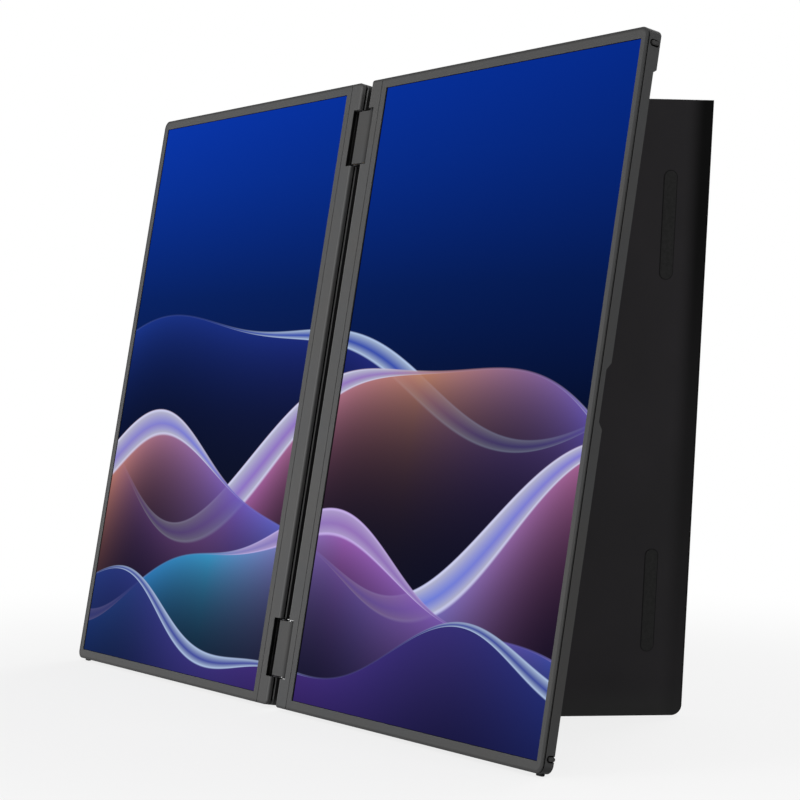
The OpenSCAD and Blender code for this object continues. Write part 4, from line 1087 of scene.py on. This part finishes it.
# %% Materials of the other solids
KEPT = {
    left_glass: ["left_display"],
    right_glass: ["right_display"],
    metals["spreader_foil"]: ["left_heat_spreader", "right_heat_spreader"],
    metals["chassis_metal"]: ["left_chassis", "right_chassis"],
    board_green: ["left_main_board", "right_driver_board", "key_board"],
    flex_amber: ["left_display_flex", "right_display_flex"],
    flex_black: ["left_hinge_flex", "right_hinge_flex", "hinge_block_flex"],
    metals["bracket_steel"]: [
        "kickstand_hinge_bases", "kickstand_hinge_leaves", "kickstand_pins"],
    # brackets and shafts take the near-black steel, painted shade for the hinge notches
    metals["shade_dark_steel"]: [
        "left_hinge_brackets", "right_hinge_brackets", "left_hinge_shafts",
        "right_hinge_shafts"],
    metals["screw_steel"]: [
        "left_hinge_screws", "right_hinge_screws", "left_cover_screws",
        "right_cover_screws", "kickstand_screws"],
    metals["bush_bronze"]: ["hinge_bushes"],
    metals["socket_steel"]: ["usb_c_sockets", "mini_hdmi_socket"],
}
for material, names in KEPT.items():
    for name in names:
        materials = frame["nodes"][name].data.materials
        materials.clear()
        materials.append(material)
print("solids finished:", sum(len(names) for names in KEPT.values()))

# %% [markdown]
# ## The floor
#
# The device stands on a pale floor in a white room. A floor that is lit to pure white
# would throw that light back on the device, so it is lit plainly and only looks white:
# where a ray comes from the camera, most of what it sees is white by itself. The share
# of plain white grows away from the device, so a soft shadow stays beneath it.

# %% Floor
FLOOR_SIZE = 12.0  # m
FLOOR_GREY, FLOOR_ROUGH, FLOOR_GLOSS = 0.62, 0.9, 0.1
NEAR_WHITE, SHADOW_REACH = 0.8, (0.18, 0.62)  # share of white beside the device; metres
WHITE = (1, 1, 1, 1)


def floor_white():
    """Pale paint that the camera sees as white, but for the shadow near the device."""
    finish = Finish("floor_white", Base_Color=(*tinted(FLOOR_GREY), 1),
                    Roughness=FLOOR_ROUGH, Specular_IOR_Level=FLOOR_GLOSS)
    radius = finish.node(
        "ShaderNodeVectorMath", (finish.place(),), out="Value", operation="LENGTH")
    paper = radius.step(*SHADOW_REACH) * (1.0 - NEAR_WHITE) + NEAR_WHITE
    white = finish.node("ShaderNodeEmission", {"Color": WHITE})
    painted = Wire(finish, finish.surface.outputs["BSDF"])
    share = finish.seen_directly() * paper
    both = finish.node("ShaderNodeMixShader", (share, painted, white))
    finish.feed(finish.tree.nodes["Material Output"].inputs["Surface"], both)
    return finish.material


half = FLOOR_SIZE / 2
square = [(-half, -half, 0), (half, -half, 0), (half, half, 0), (-half, half, 0)]
ground = bmesh.new()
ground.faces.new([ground.verts.new(corner) for corner in square])
put("floor", mesh_from(ground, "floor", floor_white()))
print("floor:", FLOOR_SIZE, "m square")

# %% [markdown]
# ## The room and its lamps
#
# Light from all round would be flat, and one lamp would be harsh. So the room itself
# gives a third of the light, and large soft lamps give the rest, at a level at which a
# colour renders about as it is written. The camera, and what mirrors or shows through
# to it, sees the room as white through the Light Path node, as it sees the floor.

# %% The white room
ROOM_LIGHT, ROOM_SEEN = 0.36, 1.0
world = bpy.data.worlds.new("white_room")
world.use_nodes = True
bpy.context.scene.world = world
room = Graph(world.node_tree)
plain, bright = (
    room.node("ShaderNodeBackground", {"Color": WHITE, "Strength": strength})
    for strength in (ROOM_LIGHT, ROOM_SEEN))
shown = room.node("ShaderNodeMixShader", (room.seen_directly(), plain, bright))
room.feed(room.tree.nodes["World Output"].inputs["Surface"], shown)
room.tree.nodes.remove(room.tree.nodes["Background"])
print("room gives", ROOM_LIGHT, "and is seen at", ROOM_SEEN)

# %% Soft lamps
LAMPS = {  # place and aim in metres, size in metres, power in watts
    "front_lamp": ((-0.5, -2.2, 0.55), (0, 0, 0.15), 1.0, 28),
    "left_lamp": ((-1.0, -0.75, 0.24), (0.05, 0, 0.12), 0.35, 2.8),
    "right_lamp": ((0.85, 0.1, 0.8), (0.2, 0, 0.25), 0.4, 2.8),
    "top_lamp": ((0.6, 0.3, 2.2), (0, 0, 0.15), 1.4, 5),
    "back_lamp": ((-0.9, 2.2, 1.2), (0, 0, 0.15), 1.6, 34),
}
for name, (place, aim, size, power) in LAMPS.items():
    lamp = put(name, bpy.data.lights.new(name, "AREA"))
    lamp.data.size = size
    lamp.data.energy = power
    lamp.location = place
    lamp.rotation_euler = (Vector(aim) - Vector(place)).to_track_quat("-Z", "Y").to_euler()
print("lamps:", ", ".join(LAMPS))

# %% [markdown]
#
# The Standard view transform shows colours as they are written.

# %% Finish
bpy.context.scene.view_settings.view_transform = "Standard"
